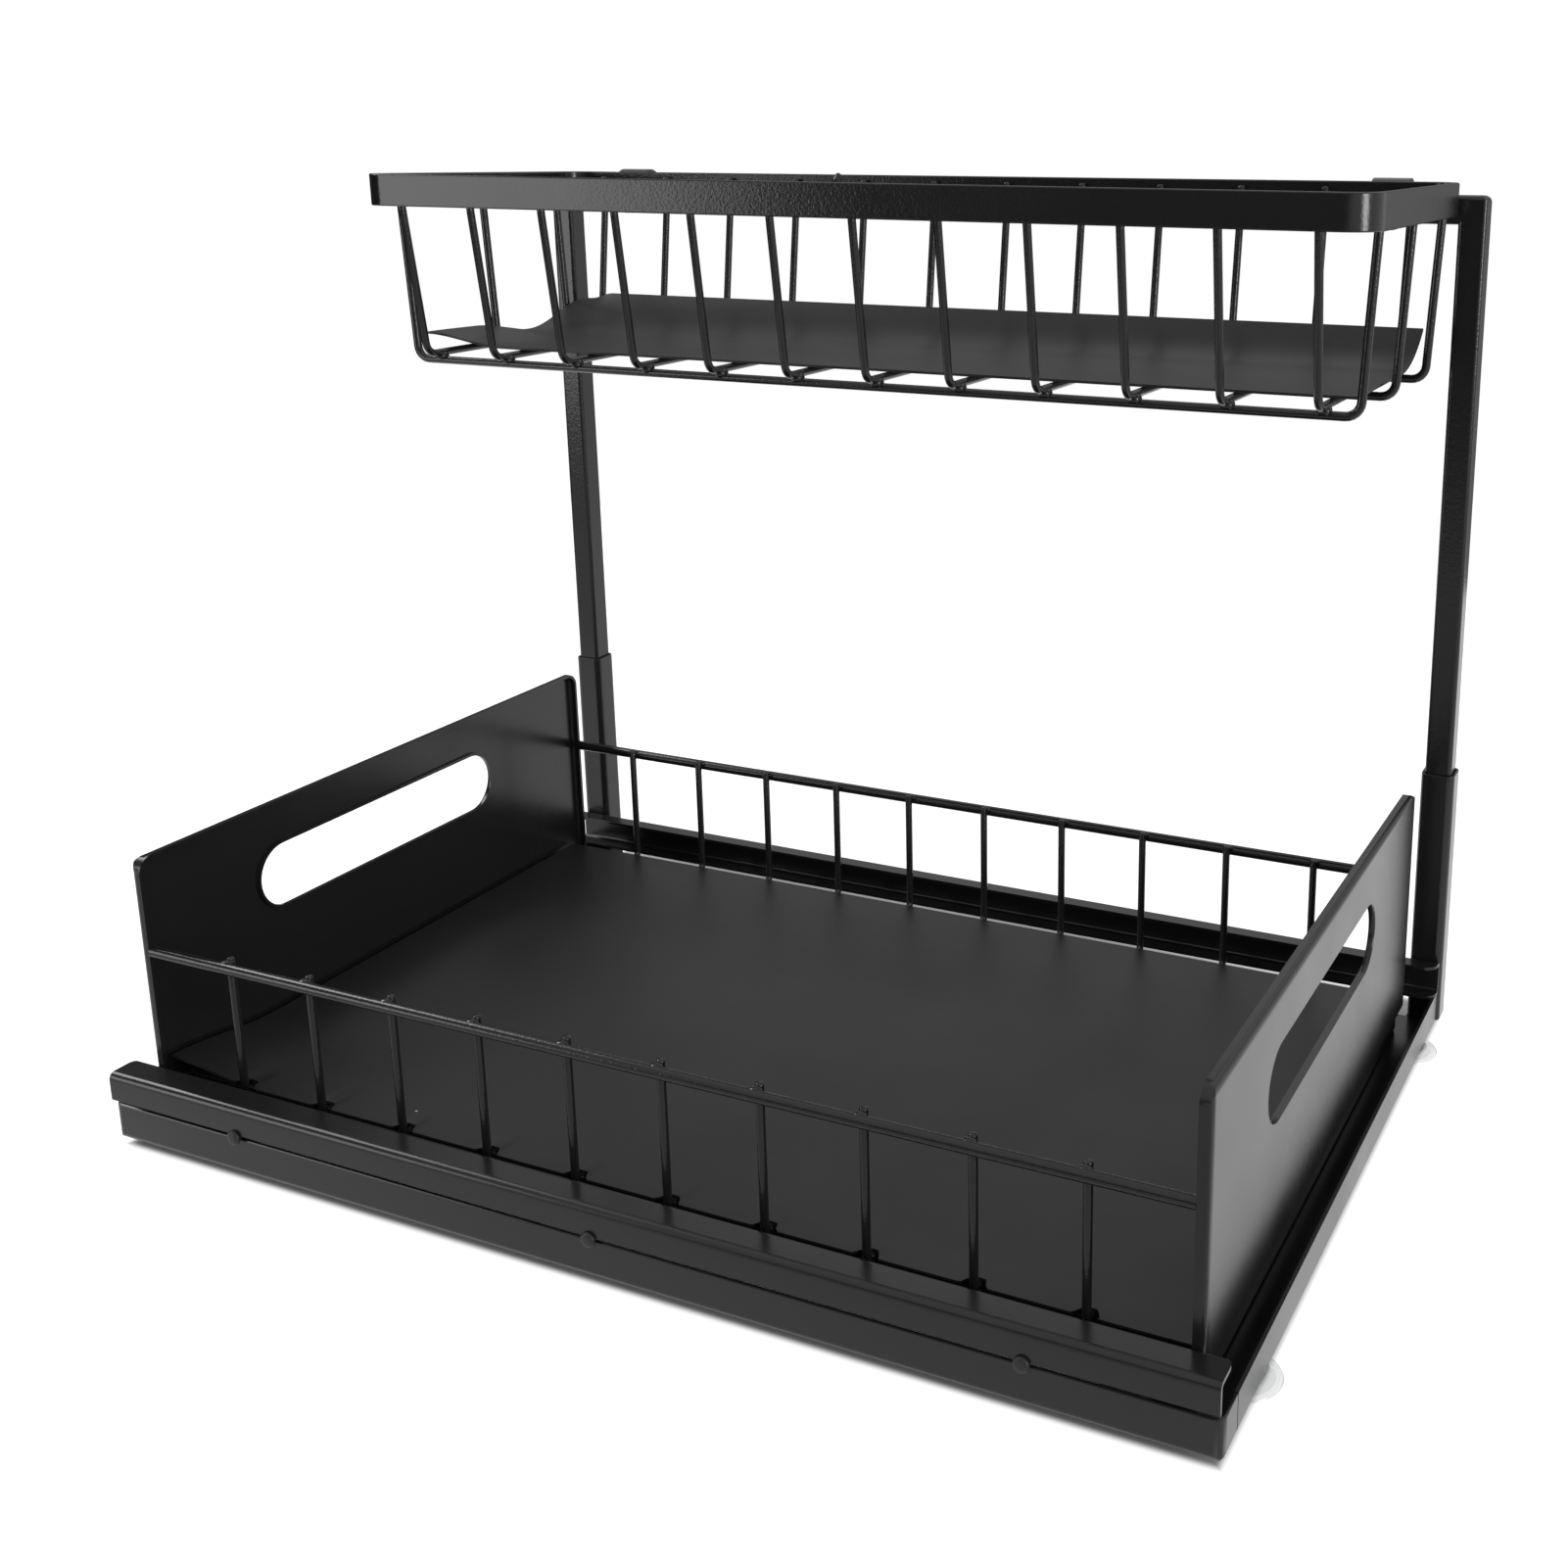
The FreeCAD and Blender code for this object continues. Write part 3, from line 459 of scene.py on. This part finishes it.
def sweep_ring(corners, bends):
    """Carry the selected ring along a line of corners, with an arc of the given radius at each inner one."""
    here = corners[0]
    for before, corner, after, bend in zip(corners, corners[1:], corners[2:], bends):
        back = (before - corner).normalized()
        onward = (after - corner).normalized()
        half_angle = back.angle(onward) / 2
        reach = bend / math.tan(half_angle)
        push_ring(corner + back * reach - here)
        middle = corner + (back + onward).normalized() * (bend / math.sin(half_angle))
        bpy.ops.mesh.spin(steps=BEND_STEPS, angle=2 * half_angle - math.pi, center=middle,
                          axis=onward.cross(back).normalized())
        here = corner + onward * reach
    push_ring(corners[-1] - here)


def cap_ends():
    """Fill the selected last ring, and then the first one, which is the only open edge left."""
    bpy.ops.mesh.edge_face_add()
    bpy.ops.mesh.select_all(action="DESELECT")
    bpy.ops.mesh.select_non_manifold()
    bpy.ops.mesh.edge_face_add()


def face_outward():
    """Turn every face of the mesh in edit mode outward."""
    bpy.ops.mesh.select_all(action="SELECT")
    bpy.ops.mesh.normals_make_consistent(inside=False)


print("bends of", BEND_STEPS, "steps")

# %% [markdown]
# A wire is such a sweep of a circle. Its ends are filled and bevelled, because cropped wire comes out of the
# coating with soft ends.

# %% Helper: bent wire
WIRE_SIDES = 16
END_ROUND = 0.45


def bent_wire(name, corners, bends, radius):
    """A round wire along a line of corners, with an arc of the given radius at each inner corner."""
    first_run = (corners[1] - corners[0]).to_track_quat("Z", "Y").to_euler()
    bpy.ops.object.select_all(action="DESELECT")
    bpy.ops.mesh.primitive_circle_add(vertices=WIRE_SIDES, radius=radius, location=corners[0],
                                      rotation=first_run)
    wire = bpy.context.active_object
    wire.name = name
    bpy.ops.object.transform_apply(location=True, rotation=True, scale=True)
    bpy.ops.object.mode_set(mode="EDIT")
    bpy.ops.mesh.select_all(action="SELECT")
    sweep_ring(corners, bends)
    cap_ends()
    bpy.ops.mesh.select_mode(type="FACE")
    bpy.ops.mesh.select_face_by_sides(number=WIRE_SIDES, extend=False)
    bpy.ops.mesh.bevel(offset=radius * END_ROUND, segments=2, affect="EDGES")
    face_outward()
    bpy.ops.mesh.select_mode(type="VERT")
    bpy.ops.object.mode_set(mode="OBJECT")
    bpy.ops.object.shade_smooth_by_angle(angle=TRUE_CORNER)
    return wire


print("wire of", WIRE_SIDES, "sides")

# %% [markdown]
# Like pieces are modelled once and copied, each with a mesh of its own. Every new piece gets its finish, the
# body that it moves with, and the solid nodes that it stands for.

# %% Helpers: copies and finish


def middle_of(node):
    """The middle of a solid node's box."""
    low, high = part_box(node)
    return (low + high) / 2


def moved_copy(piece, name, offset):
    """A copy of a piece with a mesh of its own, moved in its mesh."""
    twin = piece.copy()
    twin.data = piece.data.copy()
    twin.data.transform(Matrix.Translation(offset))
    twin.name = name
    bpy.context.scene.collection.objects.link(twin)
    return twin


def finish_piece(piece, body, slot, material, *nodes):
    """Give a new piece its material, its body and the nodes that it stands for; the slot is not used."""
    piece.data.materials.clear()
    piece.data.materials.append(material)
    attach(piece, body)
    if nodes:
        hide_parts(*nodes)


def wires_along(first, names, body):
    """Copies of the first wire, one at each of the nodes, which they stand for."""
    first_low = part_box(names[0])[0]
    for name in names[1:]:
        twin = moved_copy(first, "round_" + name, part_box(name)[0] - first_low)
        finish_piece(twin, body, "black_coat", bar_coat, name)
    finish_piece(first, body, "black_coat", bar_coat, names[0])
    print(len(names), "wires like", first.name)


print("copy helpers ready")

# %% [markdown]
# Ten wires cross the drawer under the mat. Each turns up at both ends and is welded to the rails there, with
# its end standing a hair above the rail.

# %% Drawer wires
DRAWER_WIRE_BEND = 3.5 * MM

drawer_names = [f"drawer_wire_{i:02d}" for i in range(1, 11)]
low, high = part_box(drawer_names[0])
radius = (high.x - low.x) / 2
x = middle_of(drawer_names[0]).x
wire = bent_wire("round_" + drawer_names[0], [
    Vector((x, low.y + radius, high.z)),
    Vector((x, low.y + radius, low.z + radius)),
    Vector((x, high.y - radius, low.z + radius)),
    Vector((x, high.y - radius, high.z)),
], [DRAWER_WIRE_BEND] * 2, radius)
wires_along(wire, drawer_names, "drawer")

# %% [markdown]
# Three straight wires run the other way under those ten, from flange to flange, and carry them.

# %% Cross wires under the drawer
cross_names = [f"drawer_cross_wire_{i}" for i in range(1, 4)]
low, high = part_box(cross_names[0])
middle = middle_of(cross_names[0])
wire = bent_wire("round_" + cross_names[0], [
    Vector((low.x, middle.y, middle.z)),
    Vector((high.x, middle.y, middle.z)),
], [], (high.z - low.z) / 2)
wires_along(wire, cross_names, "drawer")

# %% [markdown]
# The basket's rim is one flat bar, bent round four corners until its ends meet at the back, where they are
# welded. It is swept like the wires, from a flat section instead of a round one.

# %% Basket rim: the bent bar
RIM_WALL = 2 * MM
RIM_HEIGHT = 11.5 * MM
RIM_CORNER = 10.5 * MM
RIM_SEAM = -56 * MM
RIM_JOIN_WITHIN = 0.01 * MM

rim_low, rim_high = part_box("basket_rim")
rim_left, rim_front = rim_low.x + RIM_WALL / 2, rim_low.y + RIM_WALL / 2
rim_right, rim_rear = rim_high.x - RIM_WALL / 2, rim_high.y - RIM_WALL / 2
rim_level = rim_high.z - RIM_HEIGHT / 2
rim_line = [Vector((x, y, rim_level)) for x, y in (
    (RIM_SEAM, rim_rear), (rim_left, rim_rear), (rim_left, rim_front),
    (rim_right, rim_front), (rim_right, rim_rear), (RIM_SEAM, rim_rear))]
bpy.ops.object.select_all(action="DESELECT")
bpy.ops.mesh.primitive_plane_add(size=1, location=rim_line[0], rotation=(0, math.pi / 2, 0))
rim = bpy.context.active_object
rim.name = "flat_bar_rim"
rim.scale = (RIM_HEIGHT, RIM_WALL, 1)
bpy.ops.object.transform_apply(location=True, rotation=True, scale=True)
bpy.ops.object.mode_set(mode="EDIT")
bpy.ops.mesh.select_all(action="SELECT")
bpy.ops.mesh.delete(type="ONLY_FACE")
bpy.ops.mesh.select_all(action="SELECT")
sweep_ring(rim_line, [RIM_CORNER] * 4)
bpy.ops.mesh.select_all(action="SELECT")
bpy.ops.mesh.remove_doubles(threshold=RIM_JOIN_WITHIN)
face_outward()
bpy.ops.object.mode_set(mode="OBJECT")
print("bent bar of", len(rim.data.polygons), "faces")

# %% [markdown]
# The basket does not hang quite level: the front of the rim stands higher than the rear, and most at the
# left. The bar's edges are rolled round, which a bevel gives.

# %% Basket rim: tip and soft edges
RIM_TIP_LEFT = 2.5 * MM
RIM_TIP_RIGHT = 1.0 * MM
RIM_ROUND = 0.5 * MM

for vertex in rim.data.vertices:
    forward = (rim_rear - vertex.co.y) / (rim_rear - rim_front)
    across = (vertex.co.x - rim_left) / (rim_right - rim_left)
    vertex.co.z += forward * (RIM_TIP_LEFT + (RIM_TIP_RIGHT - RIM_TIP_LEFT) * across)
bpy.ops.object.modifier_apply(modifier=add_bevel(rim, RIM_ROUND).name)
bpy.ops.object.shade_smooth_by_angle(angle=TRUE_CORNER)
flat = rim.modifiers.new("flat_faces", "WEIGHTED_NORMAL")
bpy.ops.object.modifier_apply(modifier=flat.name)
finish_piece(rim, "basket", "black_coat", bar_coat, "basket_rim")
print("rim of", len(rim.data.polygons), "faces")

# %% [markdown]
# The basket's wires start behind the front of the rim, lean in on the way down, cross under the mat and
# lean out again to the back. Where they leave the rim they have a slight set.

# %% Basket wires
BASKET_LEAN = 7.5 * MM
BASKET_BEND = 5 * MM
RIM_SET = 12 * MM

basket_names = [f"basket_wire_{i:02d}" for i in range(1, 13)]
low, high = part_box(basket_names[0])
radius = (high.x - low.x) / 2
x = middle_of(basket_names[0]).x
front = low.y + radius
rear = high.y - radius
wire = bent_wire("round_" + basket_names[0], [
    Vector((x, front, high.z)),
    Vector((x, front, rim_low.z)),
    Vector((x, front + BASKET_LEAN, low.z + radius)),
    Vector((x, rear - BASKET_LEAN, low.z + radius)),
    Vector((x, rear, rim_low.z)),
    Vector((x, rear, high.z)),
], [RIM_SET, BASKET_BEND, BASKET_BEND, RIM_SET], radius)
wires_along(wire, basket_names, "basket")

# %% [markdown]
# Three long wires tie those together. They run from end to end under the basket and rise to the rim at both
# ends, with less of a lean.

# %% Long wires of the basket
LONG_LEAN = 3 * MM

long_names = [f"basket_long_wire_{i}" for i in range(1, 4)]
low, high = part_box(long_names[0])
radius = (high.y - low.y) / 2
y = middle_of(long_names[0]).y
left = low.x + radius
right = high.x - radius
wire = bent_wire("round_" + long_names[0], [
    Vector((left, y, high.z)),
    Vector((left, y, rim_low.z)),
    Vector((left + LONG_LEAN, y, low.z + radius)),
    Vector((right - LONG_LEAN, y, low.z + radius)),
    Vector((right, y, rim_low.z)),
    Vector((right, y, high.z)),
], [RIM_SET, BASKET_BEND, BASKET_BEND, RIM_SET], radius)
wires_along(wire, long_names, "basket")

# %% [markdown]
# The mats are loose sheets of vinyl. Each starts as a grid, so that it has enough points to bend, and its
# points are moved the way the sheet lies: flat on the wires, and up where it was packed rolled and has not
# settled. A solidify modifier then gives it the thickness of the real sheet.

# %% Helpers: mat
MAT_THICKNESS = 0.9 * MM
ROUND_ANGLE = math.radians(40)


def laid_sheet(name, size, cuts, place_of):
    """A sheet of vinyl: a grid of the flat size, each point laid by place_of(across, along)."""
    bpy.ops.object.select_all(action="DESELECT")
    bpy.ops.mesh.primitive_grid_add(x_subdivisions=cuts[0], y_subdivisions=cuts[1], size=1)
    sheet = bpy.context.active_object
    sheet.name = name
    sheet.scale = (size[0], size[1], 1)
    bpy.ops.object.transform_apply(location=True, rotation=True, scale=True)
    for vertex in sheet.data.vertices:
        vertex.co = place_of(vertex.co.x + size[0] / 2, vertex.co.y + size[1] / 2)
    wall = sheet.modifiers.new("thickness", "SOLIDIFY")
    wall.thickness = MAT_THICKNESS
    wall.offset = 1
    bpy.ops.object.modifier_apply(modifier=wall.name)
    bpy.ops.object.shade_smooth_by_angle(angle=ROUND_ANGLE)
    return sheet


def ease(value, start, end):
    """A smooth step from 0 at start to 1 at end."""
    t = min(max((value - start) / (end - start), 0), 1)
    return t * t * (3 - 2 * t)


print("mat thickness", MAT_THICKNESS, "m")

# %% [markdown]
# The drawer's mat spreads to the panels. Its front edge is notched round the wires' turned-up ends, so that
# tongues of it reach out between them, and its front left corner has sprung up.

# %% Drawer mat
SIDE_SPREAD = 5.6 * MM
REAR_SPREAD = 1.2 * MM
CORNER_LIFT = 4.5 * MM
CORNER_REACH = 46 * MM
CORNER_POWER = 1.3
NOTCH = (1.9 * MM, 4.4 * MM)
TONGUE_ROOT = 9 * MM
TONGUE_REACH = 4.8 * MM
TONGUE_RISE = 0.5 * MM
DRAWER_MAT_CUTS = (300, 60)

mat_low, mat_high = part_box("drawer_mat")
mat_low = mat_low - Vector((SIDE_SPREAD, 0, 0))
mat_high = mat_high + Vector((SIDE_SPREAD, REAR_SPREAD, 0))
mat_size = (mat_high.x - mat_low.x, mat_high.y - mat_low.y)
wire_places = [middle_of(name).x for name in drawer_names]


def drawer_mat_place(across, along):
    """Flat on the wires, with tongues between their front ends, but with the front left corner sprung up."""
    from_corner = math.hypot(across, along)
    lift = CORNER_LIFT * (1 - ease(from_corner, 0, CORNER_REACH)) ** CORNER_POWER
    from_wire = min(abs(mat_low.x + across - x) for x in wire_places)
    tongue = ease(from_wire, *NOTCH) * (1 - ease(along, 0, TONGUE_ROOT))
    return Vector((mat_low.x + across, mat_low.y + along - TONGUE_REACH * tongue,
                   mat_low.z + lift + TONGUE_RISE * tongue))


drawer_mat = laid_sheet("drawer_liner_sheet", mat_size, DRAWER_MAT_CUTS, drawer_mat_place)
finish_piece(drawer_mat, "drawer_liner", "mat_vinyl", mat_vinyl, "drawer_mat")
print("drawer mat", [round(v, 4) for v in mat_size], "m flat")

# %% [markdown]
# The basket's mat is too deep for the basket, so it rolls up against the rear wires. At its left end the
# roll gives way to a gentler rise, and the front left corner has sprung up and out.

# %% Basket mat
CURL_RADIUS = 48 * MM
CURL_ANGLE = math.radians(41.5)
CURL_AT_END = 0.75
CURL_FULL = 15 * MM
FLAT_ENOUGH = 0.0001
END_RISE = 9.2 * MM
END_RAMP = (56 * MM, 94 * MM)
TIP_LIFT = 4.2 * MM
TIP_WIDTH = 34 * MM
TIP_DEPTH = (24 * MM, 55 * MM)
TIP_OUT = 4.5 * MM
TIP_OUT_REACH = (120 * MM, 36 * MM)
BASKET_MAT_CUTS = (120, 40)

mat_low, mat_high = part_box("basket_mat")
curl_length = CURL_RADIUS * CURL_ANGLE
flat_length = mat_high.y - mat_low.y - CURL_RADIUS * math.sin(CURL_ANGLE)
basket_mat_size = (mat_high.x - mat_low.x, flat_length + curl_length)


def basket_mat_place(across, along):
    """Flat at the front, rolled up against the rear wires, with the front left corner sprung up."""
    from_end = ease(across, 0, CURL_FULL)
    bent = max(along - flat_length, 0)
    angle = (CURL_AT_END + (1 - CURL_AT_END) * from_end) * bent / CURL_RADIUS
    reach, rise = bent, 0
    if angle > FLAT_ENOUGH:
        reach = bent * math.sin(angle) / angle
        rise = bent * (1 - math.cos(angle)) / angle
    rise += (END_RISE * ease(along, *END_RAMP) - rise) * (1 - from_end)
    tip = TIP_LIFT * (1 - ease(across, 0, TIP_WIDTH)) * (1 - ease(along, *TIP_DEPTH))
    out = TIP_OUT * (1 - ease(across, 0, TIP_OUT_REACH[0])) * (1 - ease(along, 0, TIP_OUT_REACH[1]))
    return Vector((mat_low.x + across - out, mat_low.y + min(along, flat_length) + reach,
                   mat_low.z + rise + tip))


basket_mat = laid_sheet("basket_liner_sheet", basket_mat_size, BASKET_MAT_CUTS, basket_mat_place)
finish_piece(basket_mat, "basket_liner", "mat_vinyl", mat_vinyl, "basket_mat")
print("basket mat", [round(v, 4) for v in basket_mat_size], "m flat")

# %% [markdown]
# The cups and the closing studs are turned shapes. A ring is pushed from step to step of the profile and
# scaled to the radius there, which gives a round piece with as many sides as it needs.

# %% Helpers: turned piece


def turned_piece(name, profile_mm, sides):
    """A closed round piece on the z axis, from a profile of (radius, height) steps in millimetres."""
    profile = [(radius * MM, height * MM) for radius, height in profile_mm]
    bpy.ops.object.select_all(action="DESELECT")
    bpy.ops.mesh.primitive_circle_add(vertices=sides, radius=profile[0][0], location=(0, 0, profile[0][1]))
    piece = bpy.context.active_object
    piece.name = name
    bpy.ops.object.transform_apply(location=True, rotation=True, scale=True)
    bpy.ops.object.mode_set(mode="EDIT")
    bpy.ops.mesh.select_all(action="SELECT")
    for (radius, height), (next_radius, next_height) in zip(profile, profile[1:]):
        push_ring((0, 0, next_height - height))
        factor = next_radius / radius
        bpy.ops.transform.resize(value=(factor, factor, 1), center_override=(0, 0, next_height))
    cap_ends()
    face_outward()
    bpy.ops.object.mode_set(mode="OBJECT")
    bpy.ops.object.shade_smooth_by_angle(angle=ROUND_ANGLE)
    return piece


def joined_copies(piece, name, places):
    """One object of copies of a piece, one at each of the places, instead of the piece."""
    copies = [moved_copy(piece, f"{name}_{i}", place) for i, place in enumerate(places)]
    bpy.data.objects.remove(piece)
    bpy.ops.object.select_all(action="DESELECT")
    for twin in copies:
        twin.select_set(True)
    bpy.context.view_layer.objects.active = copies[0]
    bpy.ops.object.join()
    copies[0].name = name
    print(name, "with", len(places), "copies")
    return copies[0]


# %% [markdown]
# A cup is a shallow bell with a flat rim that stands on the floor, and a short neck on top that meets the
# base. One is turned and copied to the four corners.

# %% Suction cups
CUP_SIDES = 64
CUP_RADIUS = 12.1 * MM
CUP_PROFILE_MM = [
    (1.0, 1.9), (3.0, 1.85), (5.5, 1.6), (8.0, 1.0), (9.3, 0.25), (9.6, 0.0), (11.7, 0.0), (12.05, 0.2),
    (11.9, 0.5), (10.2, 1.1), (8.2, 2.0), (6.6, 2.8), (6.0, 3.2), (1.0, 3.2),
]

low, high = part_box("suction_cups")
places = [Vector((x, y, 0)) for x in (low.x + CUP_RADIUS, high.x - CUP_RADIUS)
          for y in (low.y + CUP_RADIUS, high.y - CUP_RADIUS)]
cup = turned_piece("cup", CUP_PROFILE_MM, CUP_SIDES)
clear_cups = joined_copies(cup, "clear_suction_cups", places)
finish_piece(clear_cups, "base", "clear_vinyl", clear_vinyl, "suction_cups")

# %% [markdown]
# The three studs are small rubber buttons with a stem. One is turned upright, laid on its side, copied and
# set into the lip.

# %% Closing studs
STUD_SIDES = 40
STUD_PROFILE_MM = [
    (1.9, -1.2), (1.9, 0.0), (2.4, 0.0), (2.55, 0.15), (2.55, 0.7), (2.3, 1.1), (1.8, 1.33), (0.9, 1.4),
]
STUD_SPREAD = 143.5 * MM

stud_z = middle_of("closing_studs").z
lip_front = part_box("drawer_lip")[0].y
stud = turned_piece("stud", STUD_PROFILE_MM, STUD_SIDES)
stud.data.transform(Matrix.Rotation(math.radians(90), 4, "X"))
places = [Vector((i * STUD_SPREAD, lip_front, stud_z)) for i in (-1, 0, 1)]
round_studs = joined_copies(stud, "round_closing_studs", places)
finish_piece(round_studs, "drawer", "stud_rubber", stud_rubber, "closing_studs")

# %% [markdown]
# Every crossing of two wires is a spot weld. The molten metal is squeezed out into a small bead, and the
# coating softens it further. One bead is modelled as a box that is subdivided and smoothed towards a ball,
# and then copied to each crossing.

# %% Helpers: weld beads
BEAD_CUTS = 2
BEAD_SMOOTHING = 0.5


def weld_bead(size):
    """A bead of weld: a box of the given size, rounded by subdivision."""
    bpy.ops.object.select_all(action="DESELECT")
    bpy.ops.mesh.primitive_cube_add(size=1)
    bead = bpy.context.active_object
    bead.scale = size
    bpy.ops.object.transform_apply(location=True, rotation=True, scale=True)
    bpy.ops.object.mode_set(mode="EDIT")
    bpy.ops.mesh.select_all(action="SELECT")
    bpy.ops.mesh.subdivide(number_cuts=BEAD_CUTS, smoothness=1.0)
    bpy.ops.mesh.vertices_smooth(factor=BEAD_SMOOTHING, repeat=2)
    bpy.ops.object.mode_set(mode="OBJECT")
    rounding = bead.modifiers.new("rounding", "SUBSURF")
    rounding.levels = 1
    rounding.render_levels = 1
    bpy.ops.object.modifier_apply(modifier=rounding.name)
    bpy.ops.object.shade_smooth()
    return bead


def beads_at(name, size, places, body):
    """One object of weld beads, at each of the places."""
    beads = joined_copies(weld_bead(size), name, places)
    finish_piece(beads, body, "black_coat", bar_coat)


# %% [markdown]
# On the drawer, a bead sits between each wire's end and the rail that it is welded to.

# %% Welds on the drawer's rails
RAIL_BEAD = (3.6 * MM, 2.6 * MM, 1.8 * MM)
RAIL_BEAD_DROP = 1.1 * MM

wire_low, wire_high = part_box(drawer_names[0])
for rail, wire_y in (("front_rail", wire_low.y), ("rear_rail", wire_high.y)):
    y = (middle_of(rail).y + wire_y) / 2
    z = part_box(rail)[1].z - RAIL_BEAD_DROP
    beads_at(rail + "_welds", RAIL_BEAD, [Vector((x, y, z)) for x in wire_places], "drawer")

# %% [markdown]
# On the basket, beads sit where the wires cross the long wires, and on the inner side of the rim's rear. A
# taller one closes the seam of the rim.

# %% Welds on the basket's floor and rim
FLOOR_BEAD = (3.6 * MM, 3.8 * MM, 2.4 * MM)
RIM_BEAD = (3.4 * MM, 1.6 * MM, 5.0 * MM)
SEAM_BEAD = (2.2 * MM, 2.6 * MM, 12.2 * MM)

crossings = [Vector((middle_of(name).x, middle_of(long_name).y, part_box(name)[0].z))
             for name in basket_names for long_name in long_names]
beads_at("basket_floor_welds", FLOOR_BEAD, crossings, "basket")
places = [Vector((middle_of(name).x, rim_high.y - RIM_WALL, rim_level)) for name in basket_names]
beads_at("basket_rim_welds", RIM_BEAD, places, "basket")
beads_at("rim_seam_weld", SEAM_BEAD, [rim_line[0]], "basket")

# %% [markdown]
# The model keeps to the solid model's box, but for the tipped rim.

# %% End of the scene
print("scene built")
